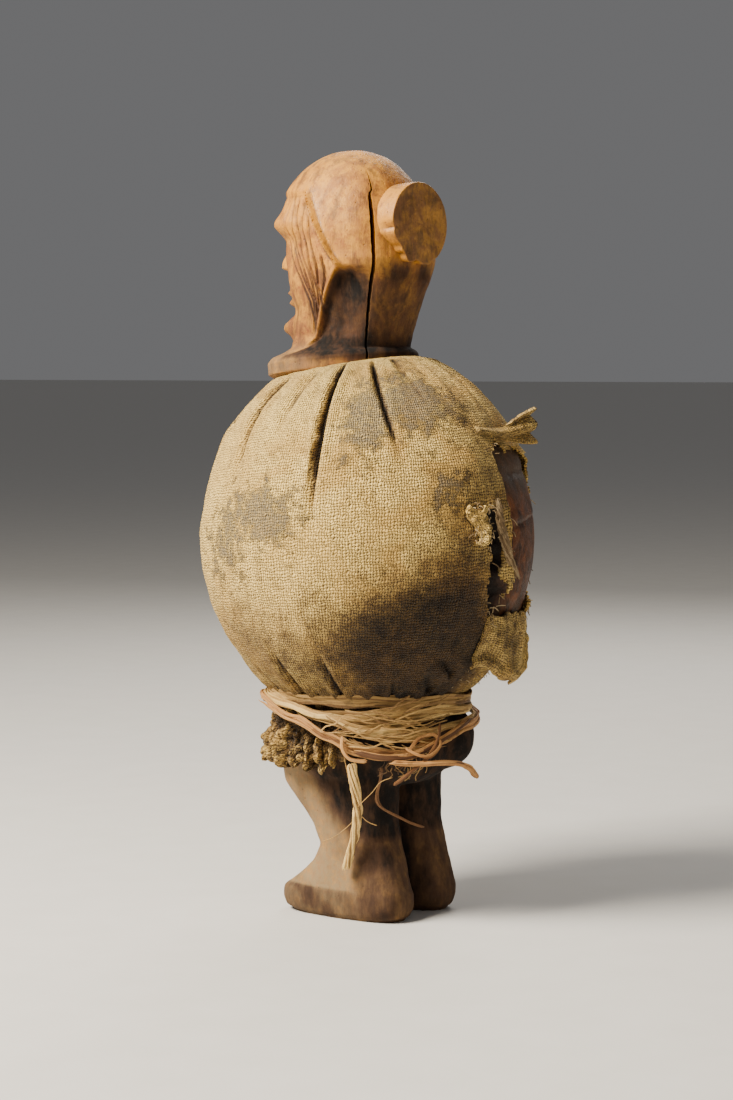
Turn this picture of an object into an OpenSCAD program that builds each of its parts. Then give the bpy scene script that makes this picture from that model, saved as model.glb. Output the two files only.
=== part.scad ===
// Carved wooden standing figure with a cloth-wrapped charge bundle round its torso, tied at the
// waist with raffia. The figure faces -Y, its left side is +X, and the soles rest on Z = 0.

/* [Figure] */
// Height of the figure, soles to crown
figure_h = 258; // [252:1:262]
// How far the head's axis stands in front of the bundle's axis
head_forward = 6.5; // [5.5:0.5:7.5]
// How far the head is turned towards its right, in degrees
head_turn = 4; // [0:1:6]
// Radius of the post that carries the charge
torso_r = 19.5; // [18:0.5:19.5]
// Radius of the hips, under the waist tie
hip_r = 29; // [28:0.5:29]
// Centre-to-centre distance of the legs
leg_spacing = 25; // [24:0.5:26]
// Length of a foot, toe to heel
foot_l = 49; // [46:0.5:49]
// Width of a foot
foot_w = 20; // [18:0.5:20]

/* [Chignon] */
// Half width of the bun at the back of the head
bun_w = 14.5; // [13:0.5:15]
// Half height of the bun
bun_h = 13.5; // [12:0.5:14]
// Distance from the head's axis to the bun's flat end
bun_reach = 28.5; // [27:0.5:30]

/* [Bundle] */
// Largest radius of the cloth bundle
bundle_r = 57; // [54:0.5:57.5]
// Half height of the bundle's oval
bundle_half_h = 64; // [63:0.5:65]
// Height of the bundle's widest level
bundle_z = 128; // [127:0.5:129]
// Thickness of the outer cloth
cloth_t = 1.4; // [1:0.1:1.5]
// Thickness of the hide under the cloth
hide_t = 1.6; // [1:0.1:2]

/* [Waist tie] */
// Width of a raffia turn
turn_w = 4.6; // [3:0.2:4.8]
// Thickness of a raffia turn
turn_t = 1.7; // [1:0.1:1.8]
// Height of the top turn
tie_z = 73.2; // [72:0.2:73.6]

/* [Hidden] */

gap = 0.3;              // clearance between pieces that lie on each other
post_sides = 32;        // corners of a carved ring
lean = 10;              // slope of the neck line, up towards the back, in degrees
rim_r = 23.7;           // radius of the bundle's mouth round the neck
rim_y = -6.3;           // centre of the mouth, in front of the bundle's axis
rim_z = 184.6;          // height of the mouth at its centre
bun_z = 232;            // height of the bun's centre
crack_turn = 53;        // turn of the drying crack from the left side, in degrees
waist_z = 76;           // level where the bundle meets the hips
sleeve_z = 71;          // lower edge of the cloth under the tie
sleeve_r = hip_r + 2.6; // outside of the cloth under the tie
turn_r = sleeve_r + turn_t / 2 + gap + 0.4; // middle of the lowest layer of raffia
turn_step = turn_t + gap;                   // one layer of raffia on the next
low_side = 126;         // bearing at which the crossing turns hang lowest, from the front

// Free raffia ends, each from the tie outwards.
tassel_d = 3;
tassel_route = [[31.5, 15.5, 54], [31.2, 15.6, 51.5], [30.6, 15.6, 49], [29.8, 15.5, 46.5],
    [28.9, 15.3, 44], [28, 15, 41.5], [27.3, 14.6, 39], [26.8, 14.1, 36.5], [26.4, 13.5, 34],
    [26.1, 12.8, 31.5], [25.8, 12, 29], [25.6, 11.1, 26.5], [25.4, 10.2, 24], [25.2, 9.3, 21.5],
    [25, 8.5, 19]];
side_d = 1.2;
side_route = [[27, 24, 53], [26.2, 23.4, 51], [25.6, 22.6, 49], [25.3, 21.7, 47], [25.2, 21, 45],
    [25, 20.8, 43], [24.2, 21, 41], [22.6, 21.6, 39.5], [20.4, 22.2, 38.2], [18, 22.6, 37],
    [15.5, 23, 35.8], [13, 23.4, 34.6], [10.5, 24, 33.4], [8.2, 24.8, 32.4], [6, 25.6, 31.6]];
long_d = 2.6;
long_route = [[27.2, 29.8, 56], [25.5, 31.8, 55.8], [23.6, 33.8, 55.6], [21.5, 35.6, 55.5],
    [19.2, 37.3, 55.5], [16.8, 38.8, 55.5], [14.2, 40.2, 55.4], [11.4, 41.2, 55.1],
    [8.5, 41.9, 54.6], [5.6, 42.2, 53.8], [2.8, 42, 52.8], [0.2, 41.4, 51.7],
    [-2.4, 40.6, 50.5], [-5, 39.7, 49.3], [-7.6, 38.8, 48]];

// ---------------------------------------------------------------- shared shapes

function unit(v) = v / norm(v);

// A compass bearing seen from above: 0 is the front (-Y), 90 is the figure's left (+X).
function bearing(a) = [sin(a), -cos(a), 0];

// A level ring with squared corners: half width, half depth, centre, and how square it is.
function carved_ring(w, d, x, y, z, square = 2.6) = [for (i = [0:post_sides - 1])
    let (a = 360 * i / post_sides, c = cos(a), s = sin(a))
    [x + w * sign(c) * pow(abs(c), 2 / square), y + d * sign(s) * pow(abs(s), 2 / square), z]];

// Faces of a stack of rings with n corners each: walls, then the two ends.
function wall_faces(rings, n) = [for (j = [0:rings - 2], i = [0:n - 1])
    [j * n + i, (j + 1) * n + i, (j + 1) * n + (i + 1) % n, j * n + (i + 1) % n]];
function end_faces(rings, n) = [[for (i = [0:n - 1]) i],
    [for (i = [n - 1:-1:0]) (rings - 1) * n + i]];

module skin(rings) {
    n = len(rings[0]);
    polyhedron([for (r = rings) each r], concat(wall_faces(len(rings), n), end_faces(len(rings), n)));
}

// A carved post from stations of [height, half width, half depth, centre in Y].
module post(stations, x = 0, square = 2.6)
    skin([for (s = stations) carved_ring(s[1], s[2], x, s[3], s[0], square)]);

// One ring of a strand: flat, w wide and t thick, about point i of its route.
function strand_ring(route, i, w, t, up, sides) = let (
    d = unit(route[min(i + 1, len(route) - 1)] - route[max(i - 1, 0)]),
    across = unit(cross(d, up)), over = cross(d, across))
    [for (k = [0:sides - 1]) let (a = 360 * k / sides)
        route[i] + across * (t / 2 * cos(a)) + over * (w / 2 * sin(a))];

module strand(route, w, t, up = [0, 0, 1], sides = 8)
    skin([for (i = [0:len(route) - 1]) strand_ring(route, i, w, t, up, sides)]);

// A loop of raffia round the waist, hanging low by drop on the low side.
module waist_loop(layer, z, drop, steps = 44, sides = 8) {
    r = turn_r + layer * turn_step;
    rings = [for (i = [0:steps - 1]) let (a = 360 * i / steps, out = bearing(a))
        [for (k = [0:sides - 1]) let (b = 360 * k / sides)
            out * (r + turn_t / 2 * cos(b))
            + [0, 0, z - drop * cos(a - low_side) + turn_w / 2 * sin(b)]]];
    faces = [for (j = [0:steps - 1], i = [0:sides - 1]) let (m = (j + 1) % steps)
        [j * sides + i, j * sides + (i + 1) % sides, m * sides + (i + 1) % sides, m * sides + i]];
    polyhedron([for (ring = rings) each ring], faces);
}

// ---------------------------------------------------------------- carved figure

module in_head() translate([0, -head_forward, 0]) rotate([0, 0, -head_turn]) children();

module bead(p, r) translate(p) sphere(r, $fn = 14);

// A ridge that runs through points.
module ridge(points, r) for (i = [0:len(points) - 2]) hull() {
    bead(points[i], r);
    bead(points[i + 1], r);
}

module hair_cap() {
    top = figure_h;
    post([[218, 21.5, 26.4, 0.5], [219.5, 23.4, 27.2, 0], [226, 24, 27.4, 0],
        [236, 23.6, 26.4, -0.5], [top - 13, 21.6, 24.4, -1.2], [top - 7, 17.2, 20, -1.5],
        [top - 3, 12, 14.6, -1.8], [top - 0.9, 6.6, 8.6, -2], [top, 2, 3, -2]], square = 2.4);
}

module face() {
    post([[190, 11, 12.4, -8], [195, 14.6, 17, -7.6], [206, 18.6, 20.2, -4.6],
        [218, 21, 22.6, -2.4], [230, 22.2, 24.4, -1.6], [241, 21.2, 24, -1.4]]);
    for (side = [-1, 1]) {
        ridge([[side * 18, -16.5, 230.6], [side * 10, -25.6, 231.6], [0, -28.6, 231.4]], 1.9);
        hull() {
            bead([side * 12.2, -21.4, 224.6], 1.5);
            bead([side * 6.2, -25.2, 224.4], 1.5);
        }
    }
    hull() {
        bead([0, -26.4, 229], 1.4);
        bead([0, -30, 219.4], 1.9);
        bead([-4, -26.8, 218.4], 1.7);
        bead([4, -26.8, 218.4], 1.7);
    }
    ridge([[-6, -24.4, 209], [0, -27.4, 209.4], [6, -24.4, 209]], 1.8);
    hull() {
        bead([0, -27, 197], 3.4);
        bead([-7.4, -22, 197], 3.2);
        bead([7.4, -22, 197], 3.2);
        bead([0, -23, 203], 2.6);
    }
}

module bun() translate([0, 0, bun_z]) rotate([-90, 0, 0])
    resize([2 * bun_w, 2 * bun_h, bun_reach]) cylinder(h = bun_reach, r = bun_w, $fn = 48);

module drying_crack() rotate([0, 0, crack_turn]) translate([14, -0.5, 186]) cube([20, 1, 66]);

module head() difference() {
    union() {
        post([[184, 19, 20, 0], [190, 18, 19, 0], [203, 19.4, 21.4, 0], [219, 21.6, 25.6, 0.5]]);
        difference() {
            hair_cap();
            translate([-30, -40, 200]) rotate([-14, 0, 0]) cube([60, 33.5, 41]);
        }
        face();
        bun();
    }
    drying_crack();
}

module shoulder_plate() translate([0, -12.5, 186.3]) rotate([7, 0, 0]) {
    translate([0, 0, -2.4]) cylinder(h = 4.2, r1 = 22.6, r2 = 24, $fn = 64);
    translate([0, 0, 1.8]) cylinder(h = 4.4, r1 = 24, r2 = 16, $fn = 64);
}

module hips() {
    cylinder_top = waist_z - 3;
    translate([0, 0, 46]) cylinder(h = 4, r1 = hip_r - 5, r2 = hip_r, $fn = 72);
    translate([0, 0, 50]) cylinder(h = cylinder_top - 50, r = hip_r, $fn = 72);
    translate([0, 0, cylinder_top]) cylinder(h = 7, r1 = hip_r, r2 = torso_r, $fn = 72);
    for (side = [-1, 1]) translate([side * 12, 15, 59.5]) resize([25, 35, 25]) sphere(14, $fn = 32);
}

module leg(side) {
    x = side * leg_spacing / 2;
    half = foot_w / 2;
    post([[9, half, 18, 2.5], [16, half - 0.6, 15.6, 4.6], [24, half - 1, 13.8, 5.6],
        [34, half - 0.5, 16.6, 2.6], [45, half + 1, 20.6, -1.4], [52, half + 1.6, 20.6, -3]],
        x = x, square = 3);
    // the foot: a flat sole, a low side band and a top that slopes to the toe
    toe = -foot_l / 2 - 0.6;
    heel = foot_l / 2 - 0.6;
    hull() {
        for (band = [[0, 1.2], [1.4, 0], [9, 0.3]]) translate([x, 0, band[0]])
            linear_extrude(0.4) hull() {
                translate([0, toe + half - 1]) circle(half - 1 - band[1], $fn = 32);
                translate([0, heel - half]) circle(half - band[1], $fn = 32);
            }
        translate([x, -6, 20]) linear_extrude(0.4) circle(half - 2.5, $fn = 32);
    }
}

module carved_figure() color("sienna") {
    in_head() head();
    shoulder_plate();
    translate([0, rim_y + 1.8, 60]) cylinder(h = 126, r = torso_r, $fn = 72);
    hips();
    for (side = [-1, 1]) leg(side);
}

// ---------------------------------------------------------------- bundle

// The bundle's oval drawn inwards by inset, from one level to another, as [radius, height].
function oval_r(z, inset) = let (up = (z - bundle_z) / (bundle_half_h - inset))
    (bundle_r - inset) * sqrt(max(0, 1 - up * up));
function oval(z0, z1, inset, steps) = [for (i = [0:steps]) let (z = z0 + (z1 - z0) * i / steps)
    [oval_r(z, inset), z]];

module charge_packing() color("#3a2a1c") difference() {
    inset = cloth_t + hide_t + 2 * gap;
    rotate_extrude($fn = 96) polygon(concat([[0, 81]], oval(81, 174, inset, 24), [[0, 174]]));
    translate([0, rim_y + 1.8, 70]) cylinder(h = 120, r = torso_r + gap, $fn = 72);
}

module hide_wrap() color("#7a4a26") rotate_extrude($fn = 96) polygon(concat(
    oval(78.5, 175, cloth_t + gap, 26), oval(175, 78.5, cloth_t + gap + hide_t, 26)));

// Height of the bundle's mouth at bearing a, and its radius about the bundle's own axis.
function mouth(a) = let (out = bearing(a), y = rim_y * -cos(a),
    r = y + sqrt(rim_r * rim_r - pow(rim_y * sin(a), 2)))
    [r, rim_z + (r * out[1] - rim_y) * tan(lean)];

// One closed outline of the cloth at bearing a: up the outside, over the mouth, down the inside.
function cloth_outline(a, rows) = let (m = mouth(a), top = m[1] - 1.2) concat(
    [[sleeve_r, sleeve_z], [sleeve_r, waist_z - 0.6]],
    [for (i = [0:rows]) let (z = waist_z + (top - waist_z) * (1 - cos(180 * i / rows)) / 2)
        [max(oval_r(z, 0), m[0] + 0.6), z]],
    [[m[0], m[1]], [m[0] - cloth_t, m[1] - 0.4], [m[0] - cloth_t, m[1] - 5],
     [m[0] - 0.2, m[1] - 5], [m[0] + 0.2, m[1] - 2.4]],
    [for (i = [rows:-1:0]) let (z = waist_z + (top - 2 - waist_z) * (1 - cos(180 * i / rows)) / 2)
        [max(oval_r(z, cloth_t), m[0] + 0.4), z]],
    [[sleeve_r - cloth_t, waist_z - 0.6], [sleeve_r - cloth_t, sleeve_z]]);

module cloth_body(steps = 60, rows = 18) {
    outlines = [for (i = [0:steps - 1]) let (a = 360 * i / steps, out = bearing(a))
        [for (p = cloth_outline(a, rows)) out * p[0] + [0, 0, p[1]]]];
    n = len(outlines[0]);
    faces = [for (j = [0:steps - 1], i = [0:n - 1]) let (m = (j + 1) % steps)
        [j * n + i, j * n + (i + 1) % n, m * n + (i + 1) % n, m * n + i]];
    polyhedron([for (o = outlines) each o], faces);
}

// The torn place at the back, as [bearing, height] corners, cut straight through the cloth.
tear = [[176, 156], [190, 160], [214, 157], [230, 146], [234, 122], [226, 104], [206, 97],
    [190, 95], [180, 99], [178, 118], [176, 140]];
slit = [[168, 134], [172, 135], [175, 118], [174, 103], [171, 101], [170, 118]];
module torn_out(corners) {
    skin([for (r = [80, 42]) [for (c = corners)
        bearing(c[0]) * r + [0, 0, bundle_z + (c[1] - bundle_z) * r / bundle_r]]]);
}

// A curved patch of cloth between two bearings, with its foot swung in or out.
module rag(a0, a1, z0, z1, r0, r1, steps = 8) {
    skin([for (i = [0:steps]) let (a = a0 + (a1 - a0) * i / steps, out = bearing(a),
        drop = 2.4 * sin(3 * 180 * i / steps))
        [out * (r0 - cloth_t) + [0, 0, z0 + drop], out * (r1 - cloth_t) + [0, 0, z1],
         out * r1 + [0, 0, z1], out * r0 + [0, 0, z0 + drop]]]);
}

// The gathered hem that stands below the tie, round the front and the left side.
module frill(steps = 96, waves = 11) {
    rings = [for (i = [0:steps]) let (a = -112 + 220 * i / steps, out = bearing(a),
        r = sleeve_r + 0.5 + 1.1 * sin(waves * 360 * i / steps))
        [out * (r - cloth_t) + [0, 0, 54], out * (sleeve_r - 1.2) + [0, 0, sleeve_z + 0.8],
         out * (sleeve_r - 0.1) + [0, 0, sleeve_z + 0.8], out * r + [0, 0, 53.6]]];
    skin(rings);
}

module cloth_wrap() color("#a98f63") {
    difference() {
        cloth_body();
        torn_out(tear);
        torn_out(slit);
    }
    frill();
    rag(190, 222, 81, 98, 48.5, 50.6);
    // the bunched corner that stands out above the tear
    hull() {
        translate(bearing(186) * 48.5 + [0, 0, 163]) sphere(2.2, $fn = 16);
        translate(bearing(199) * 52 + [0, 0, 163.5]) sphere(4, $fn = 16);
    }
    hull() {
        translate(bearing(199) * 52 + [0, 0, 163.5]) sphere(4, $fn = 16);
        translate(bearing(203) * 56.5 + [0, 0, 167.5]) sphere(2.2, $fn = 16);
        translate(bearing(203) * 56 + [0, 0, 159.5]) sphere(2.2, $fn = 16);
    }
}

module neck_cord() color("#6b5233") translate([0, rim_y, rim_z - 3.4]) rotate([lean, 0, 0])
    rotate_extrude($fn = 96) translate([rim_r + 1.75, 0]) circle(1.2, $fn = 24);

// ---------------------------------------------------------------- raffia

module raffia_turn_top() color("#b58a4e") waist_loop(0, tie_z, 0);
module raffia_turn_second() color("#b58a4e") waist_loop(0, tie_z - turn_w - 0.5, 0);
module raffia_turn_crossing() color("#c09558") waist_loop(1, 70, 3);
module raffia_turn_low() color("#b3702f") waist_loop(2, 66, 9);

module raffia_knot() color("#b3702f") {
    at = bearing(160) * 41.4 + [0, 0, 62.6];
    hull() {
        translate(at) sphere(3, $fn = 24);
        translate(at + [4, 0.5, -0.6]) sphere(2.4, $fn = 24);
    }
    // short stubs that leave the knot: one curls down, one runs back along the waist
    strand([at, at + [1.5, 1.6, -4], at + [4.5, 2.6, -8], at + [8.5, 2.4, -11.5],
        at + [11.5, 1.6, -13]], 2.6, 2.2, up = [1, 0, 0]);
    strand([at, at + [-5, -0.2, 2.4], at + [-10, -0.4, 4.4], at + [-16, -0.6, 6.6]], 2.8, 2);
}

module raffia_long_end() color("#b3702f") strand(long_route, long_d, long_d);
module raffia_tassel() color("#c79a4b") strand(tassel_route, tassel_d, tassel_d, up = [1, 0, 0]);
module raffia_side_strand() color("#7d5230") strand(side_route, side_d, side_d, up = [1, 0, 0]);

carved_figure();
charge_packing();
hide_wrap();
cloth_wrap();
neck_cord();
raffia_turn_top();
raffia_turn_second();
raffia_turn_crossing();
raffia_turn_low();
raffia_knot();
raffia_long_end();
raffia_tassel();
raffia_side_strand();
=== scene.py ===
"""A carved wooden figure with a cloth-wrapped charge round its torso, tied at the waist with raffia.

The figure faces -Y, its left side is +X, and it stands on Z = 0. Sizes in the classes below are in
millimetres, and every mesh is written in metres.
"""

import logging
import math
import random
from dataclasses import dataclass, field
from enum import Enum
from typing import Callable, Optional, Sequence

import bpy
from mathutils import Matrix, Vector, noise


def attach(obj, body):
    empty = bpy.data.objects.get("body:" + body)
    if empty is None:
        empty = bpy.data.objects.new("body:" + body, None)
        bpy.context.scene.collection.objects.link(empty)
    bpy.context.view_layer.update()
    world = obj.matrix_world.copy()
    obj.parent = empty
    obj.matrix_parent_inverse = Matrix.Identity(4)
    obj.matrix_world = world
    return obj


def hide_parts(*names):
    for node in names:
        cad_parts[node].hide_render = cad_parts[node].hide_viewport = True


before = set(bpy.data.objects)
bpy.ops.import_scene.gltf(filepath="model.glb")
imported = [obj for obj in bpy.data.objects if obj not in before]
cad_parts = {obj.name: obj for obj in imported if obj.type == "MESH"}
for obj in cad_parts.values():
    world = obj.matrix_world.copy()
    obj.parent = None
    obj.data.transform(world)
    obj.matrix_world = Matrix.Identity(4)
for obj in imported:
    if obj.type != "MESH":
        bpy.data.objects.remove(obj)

LOG = logging.getLogger("doll")
MM = 0.001
BODY = "root"

Colour = tuple[float, float, float]


# ------------------------------------------------------------------------------ plain measures


def srgb(red: int, green: int, blue: int) -> Colour:
    """Return a linear colour for one given on the usual 0 to 255 scale."""

    def linear(level: int) -> float:
        """Return one channel's linear value."""
        part = level / 255.0
        return part / 12.92 if part <= 0.04045 else ((part + 0.055) / 1.055) ** 2.4

    return linear(red), linear(green), linear(blue)


def bearing(degrees: float) -> Vector:
    """Return the level direction at a bearing: 0 is the front, 90 the figure's left."""
    angle = math.radians(degrees)
    return Vector((math.sin(angle), -math.cos(angle), 0.0))


def bearing_of(point: Vector) -> float:
    """Return the bearing of a point about the upright axis, from -180 to 180."""
    return math.degrees(math.atan2(point.x, -point.y))


def turn_between(first: float, second: float) -> float:
    """Return the signed angle from the first bearing to the second, from -180 to 180."""
    return (second - first + 180.0) % 360.0 - 180.0


def smooth(low: float, high: float, value: float) -> float:
    """Return 0 below low, 1 above high, and a smooth rise between them."""
    part = min(1.0, max(0.0, (value - low) / (high - low)))
    return part * part * (3.0 - 2.0 * part)


def bell(distance: float, width: float) -> float:
    """Return 1 at no distance, falling away over about the given width."""
    return math.exp(-((distance / width) ** 2))


def blend(first: float, second: float, part: float) -> float:
    """Return the value that lies the given part of the way between two."""
    return first + (second - first) * part


def read_stations(stations: Sequence[Sequence[float]], height: float) -> list[float]:
    """Read a table of sections at one height, easing between its rows.

    Args:
        stations: rows of (height, value, value, ...), lowest first.
        height: the height to read.

    Returns:
        The values at that height.
    """
    if height <= stations[0][0]:
        return list(stations[0][1:])
    for lower, upper in zip(stations, stations[1:]):
        if height <= upper[0]:
            part = (height - lower[0]) / (upper[0] - lower[0])
            return [blend(a, b, part) for a, b in zip(lower[1:], upper[1:])]
    return list(stations[-1][1:])


def squared_radius(degrees: float, half_width: float, half_depth: float, square: float) -> float:
    """Return how far a squared oval reaches at a bearing.

    Args:
        degrees: the bearing.
        half_width: its reach to the side.
        half_depth: its reach to the front and back.
        square: 2 for an ellipse, more for squarer corners.

    Returns:
        The reach from its centre.
    """
    way = bearing(degrees)
    across = abs(way.x / half_width) ** square
    deep = abs(way.y / half_depth) ** square
    return (across + deep) ** (-1.0 / square)


def rough(point: Vector, size: float, seed: float = 0.0) -> float:
    """Return smooth noise from -1 to 1 whose lumps are about the given size."""
    return noise.noise(Vector((point.x / size + seed, point.y / size - seed, point.z / size)))


# ------------------------------------------------------------------------------ mesh work


def only(*things: bpy.types.Object) -> None:
    """Select these objects and nothing else, the first of them active."""
    bpy.ops.object.select_all(action="DESELECT")
    for thing in things:
        thing.select_set(True)
    if things:
        bpy.context.view_layer.objects.active = things[0]


def settle(piece: bpy.types.Object) -> None:
    """Write the piece's place, turn and scale into its mesh."""
    only(piece)
    bpy.ops.object.transform_apply(location=True, rotation=True, scale=True)


def move_points(piece: bpy.types.Object, move: Callable[[Vector], Vector]) -> None:
    """Move each point of a mesh.

    Args:
        piece: the mesh object, its place in its mesh.
        move: takes and returns a point, in millimetres.
    """
    for vertex in piece.data.vertices:
        vertex.co = move(vertex.co / MM) * MM
    piece.data.update()


def push_points(piece: bpy.types.Object, height: Callable[[Vector, Vector], float]) -> None:
    """Push each point along its own normal.

    Args:
        piece: the mesh object, its place in its mesh.
        height: takes the point in millimetres and its normal, and returns millimetres.
    """
    moves = [v.normal * height(v.co / MM, v.normal) * MM for v in piece.data.vertices]
    for vertex, shift in zip(piece.data.vertices, moves):
        vertex.co += shift
    piece.data.update()


def use_modifier(piece: bpy.types.Object, kind: str, **settings: object) -> None:
    """Add a modifier with the given settings and apply it."""
    only(piece)
    modifier = piece.modifiers.new(kind.lower(), kind)
    for name, value in settings.items():
        setattr(modifier, name, value)
    bpy.ops.object.modifier_apply(modifier=modifier.name)


def join(pieces: Sequence[bpy.types.Object], name: str) -> bpy.types.Object:
    """Join meshes into one object with the given name."""
    only(*pieces)
    if len(pieces) > 1:
        bpy.ops.object.join()
    whole = bpy.context.view_layer.objects.active
    whole.name = name
    whole.data.name = name
    return whole


def weld(piece: bpy.types.Object, distance: float = 0.01) -> None:
    """Merge points closer than a distance in millimetres, and turn all faces outwards."""
    only(piece)
    bpy.ops.object.mode_set(mode="EDIT")
    bpy.ops.mesh.select_all(action="SELECT")
    bpy.ops.mesh.remove_doubles(threshold=distance * MM)
    bpy.ops.mesh.normals_make_consistent(inside=False)
    bpy.ops.object.mode_set(mode="OBJECT")


def bent_ball(name: str, around: int, along: int, place: Callable[[float, float], Vector]):
    """Make a closed skin by bending a ball.

    Args:
        name: the object's name.
        around: faces around it.
        along: faces from its lower pole to its upper one.
        place: takes the bearing in degrees and how far up it is from 0 to 1, and returns a point
            in millimetres.

    Returns:
        The new object.
    """
    only()
    bpy.ops.mesh.primitive_uv_sphere_add(segments=around, ring_count=along, radius=1.0)
    ball = bpy.context.active_object
    ball.name = name
    ball.data.name = name
    for vertex in ball.data.vertices:
        part = math.acos(max(-1.0, min(1.0, -vertex.co.z))) / math.pi
        vertex.co = place(bearing_of(vertex.co), part) * MM
    ball.data.update()
    return ball


def bent_sheet(name: str, across: int, up: int, place: Callable[[float, float], Vector]):
    """Make an open skin by bending a flat grid, which keeps its own UV map.

    Args:
        name: the object's name.
        across: faces from side to side.
        up: faces from foot to head.
        place: takes how far across and how far up, from 0 to 1, and returns a point in
            millimetres.

    Returns:
        The new object.
    """
    only()
    bpy.ops.mesh.primitive_grid_add(x_subdivisions=across, y_subdivisions=up, size=1.0)
    sheet = bpy.context.active_object
    sheet.name = name
    sheet.data.name = name
    for vertex in sheet.data.vertices:
        vertex.co = place(vertex.co.x + 0.5, vertex.co.y + 0.5) * MM
    sheet.data.update()
    return sheet


def cut_faces(piece: bpy.types.Object, inside: Callable[[Vector], bool]) -> None:
    """Delete the faces whose middle, in millimetres, is inside."""
    only(piece)
    bpy.ops.object.mode_set(mode="EDIT")
    bpy.ops.mesh.select_mode(type="FACE")
    bpy.ops.mesh.select_all(action="DESELECT")
    bpy.ops.object.mode_set(mode="OBJECT")
    for face in piece.data.polygons:
        face.select = inside(face.center / MM)
    bpy.ops.object.mode_set(mode="EDIT")
    bpy.ops.mesh.delete(type="FACE")
    bpy.ops.object.mode_set(mode="OBJECT")


def paint(piece: bpy.types.Object, tint: Callable[[Vector, Vector], Colour]) -> None:
    """Store a tint for each point, which the piece's finish reads.

    Args:
        piece: the mesh object.
        tint: takes a point in millimetres and its normal, and returns three amounts from 0 to 1.
    """
    layer = piece.data.color_attributes.get("tint")
    if layer is None:
        layer = piece.data.color_attributes.new("tint", "FLOAT_COLOR", "POINT")
    for vertex, stored in zip(piece.data.vertices, layer.data):
        stored.color = (*tint(vertex.co / MM, vertex.normal), 1.0)


def finish_piece(piece: bpy.types.Object, material: bpy.types.Material,
                 replaces: Sequence[str] = (), angle: float = 50.0) -> None:
    """Shade, dress and register one finished piece.

    Args:
        piece: the mesh object.
        material: its finish.
        replaces: the CAD nodes that it stands for.
        angle: edges sharper than this, in degrees, stay crisp.
    """
    only(piece)
    bpy.ops.object.shade_smooth_by_angle(angle=math.radians(angle))
    piece.data.materials.clear()
    piece.data.materials.append(material)
    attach(piece, BODY)
    if replaces:
        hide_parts(*replaces)
    LOG.info("%s: %d faces", piece.name, len(piece.data.polygons))


# ------------------------------------------------------------------------------ finishes


class Coordinates(Enum):
    """Where a finish reads its pattern from."""

    OBJECT = "Object"
    UV = "UV"


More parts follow.
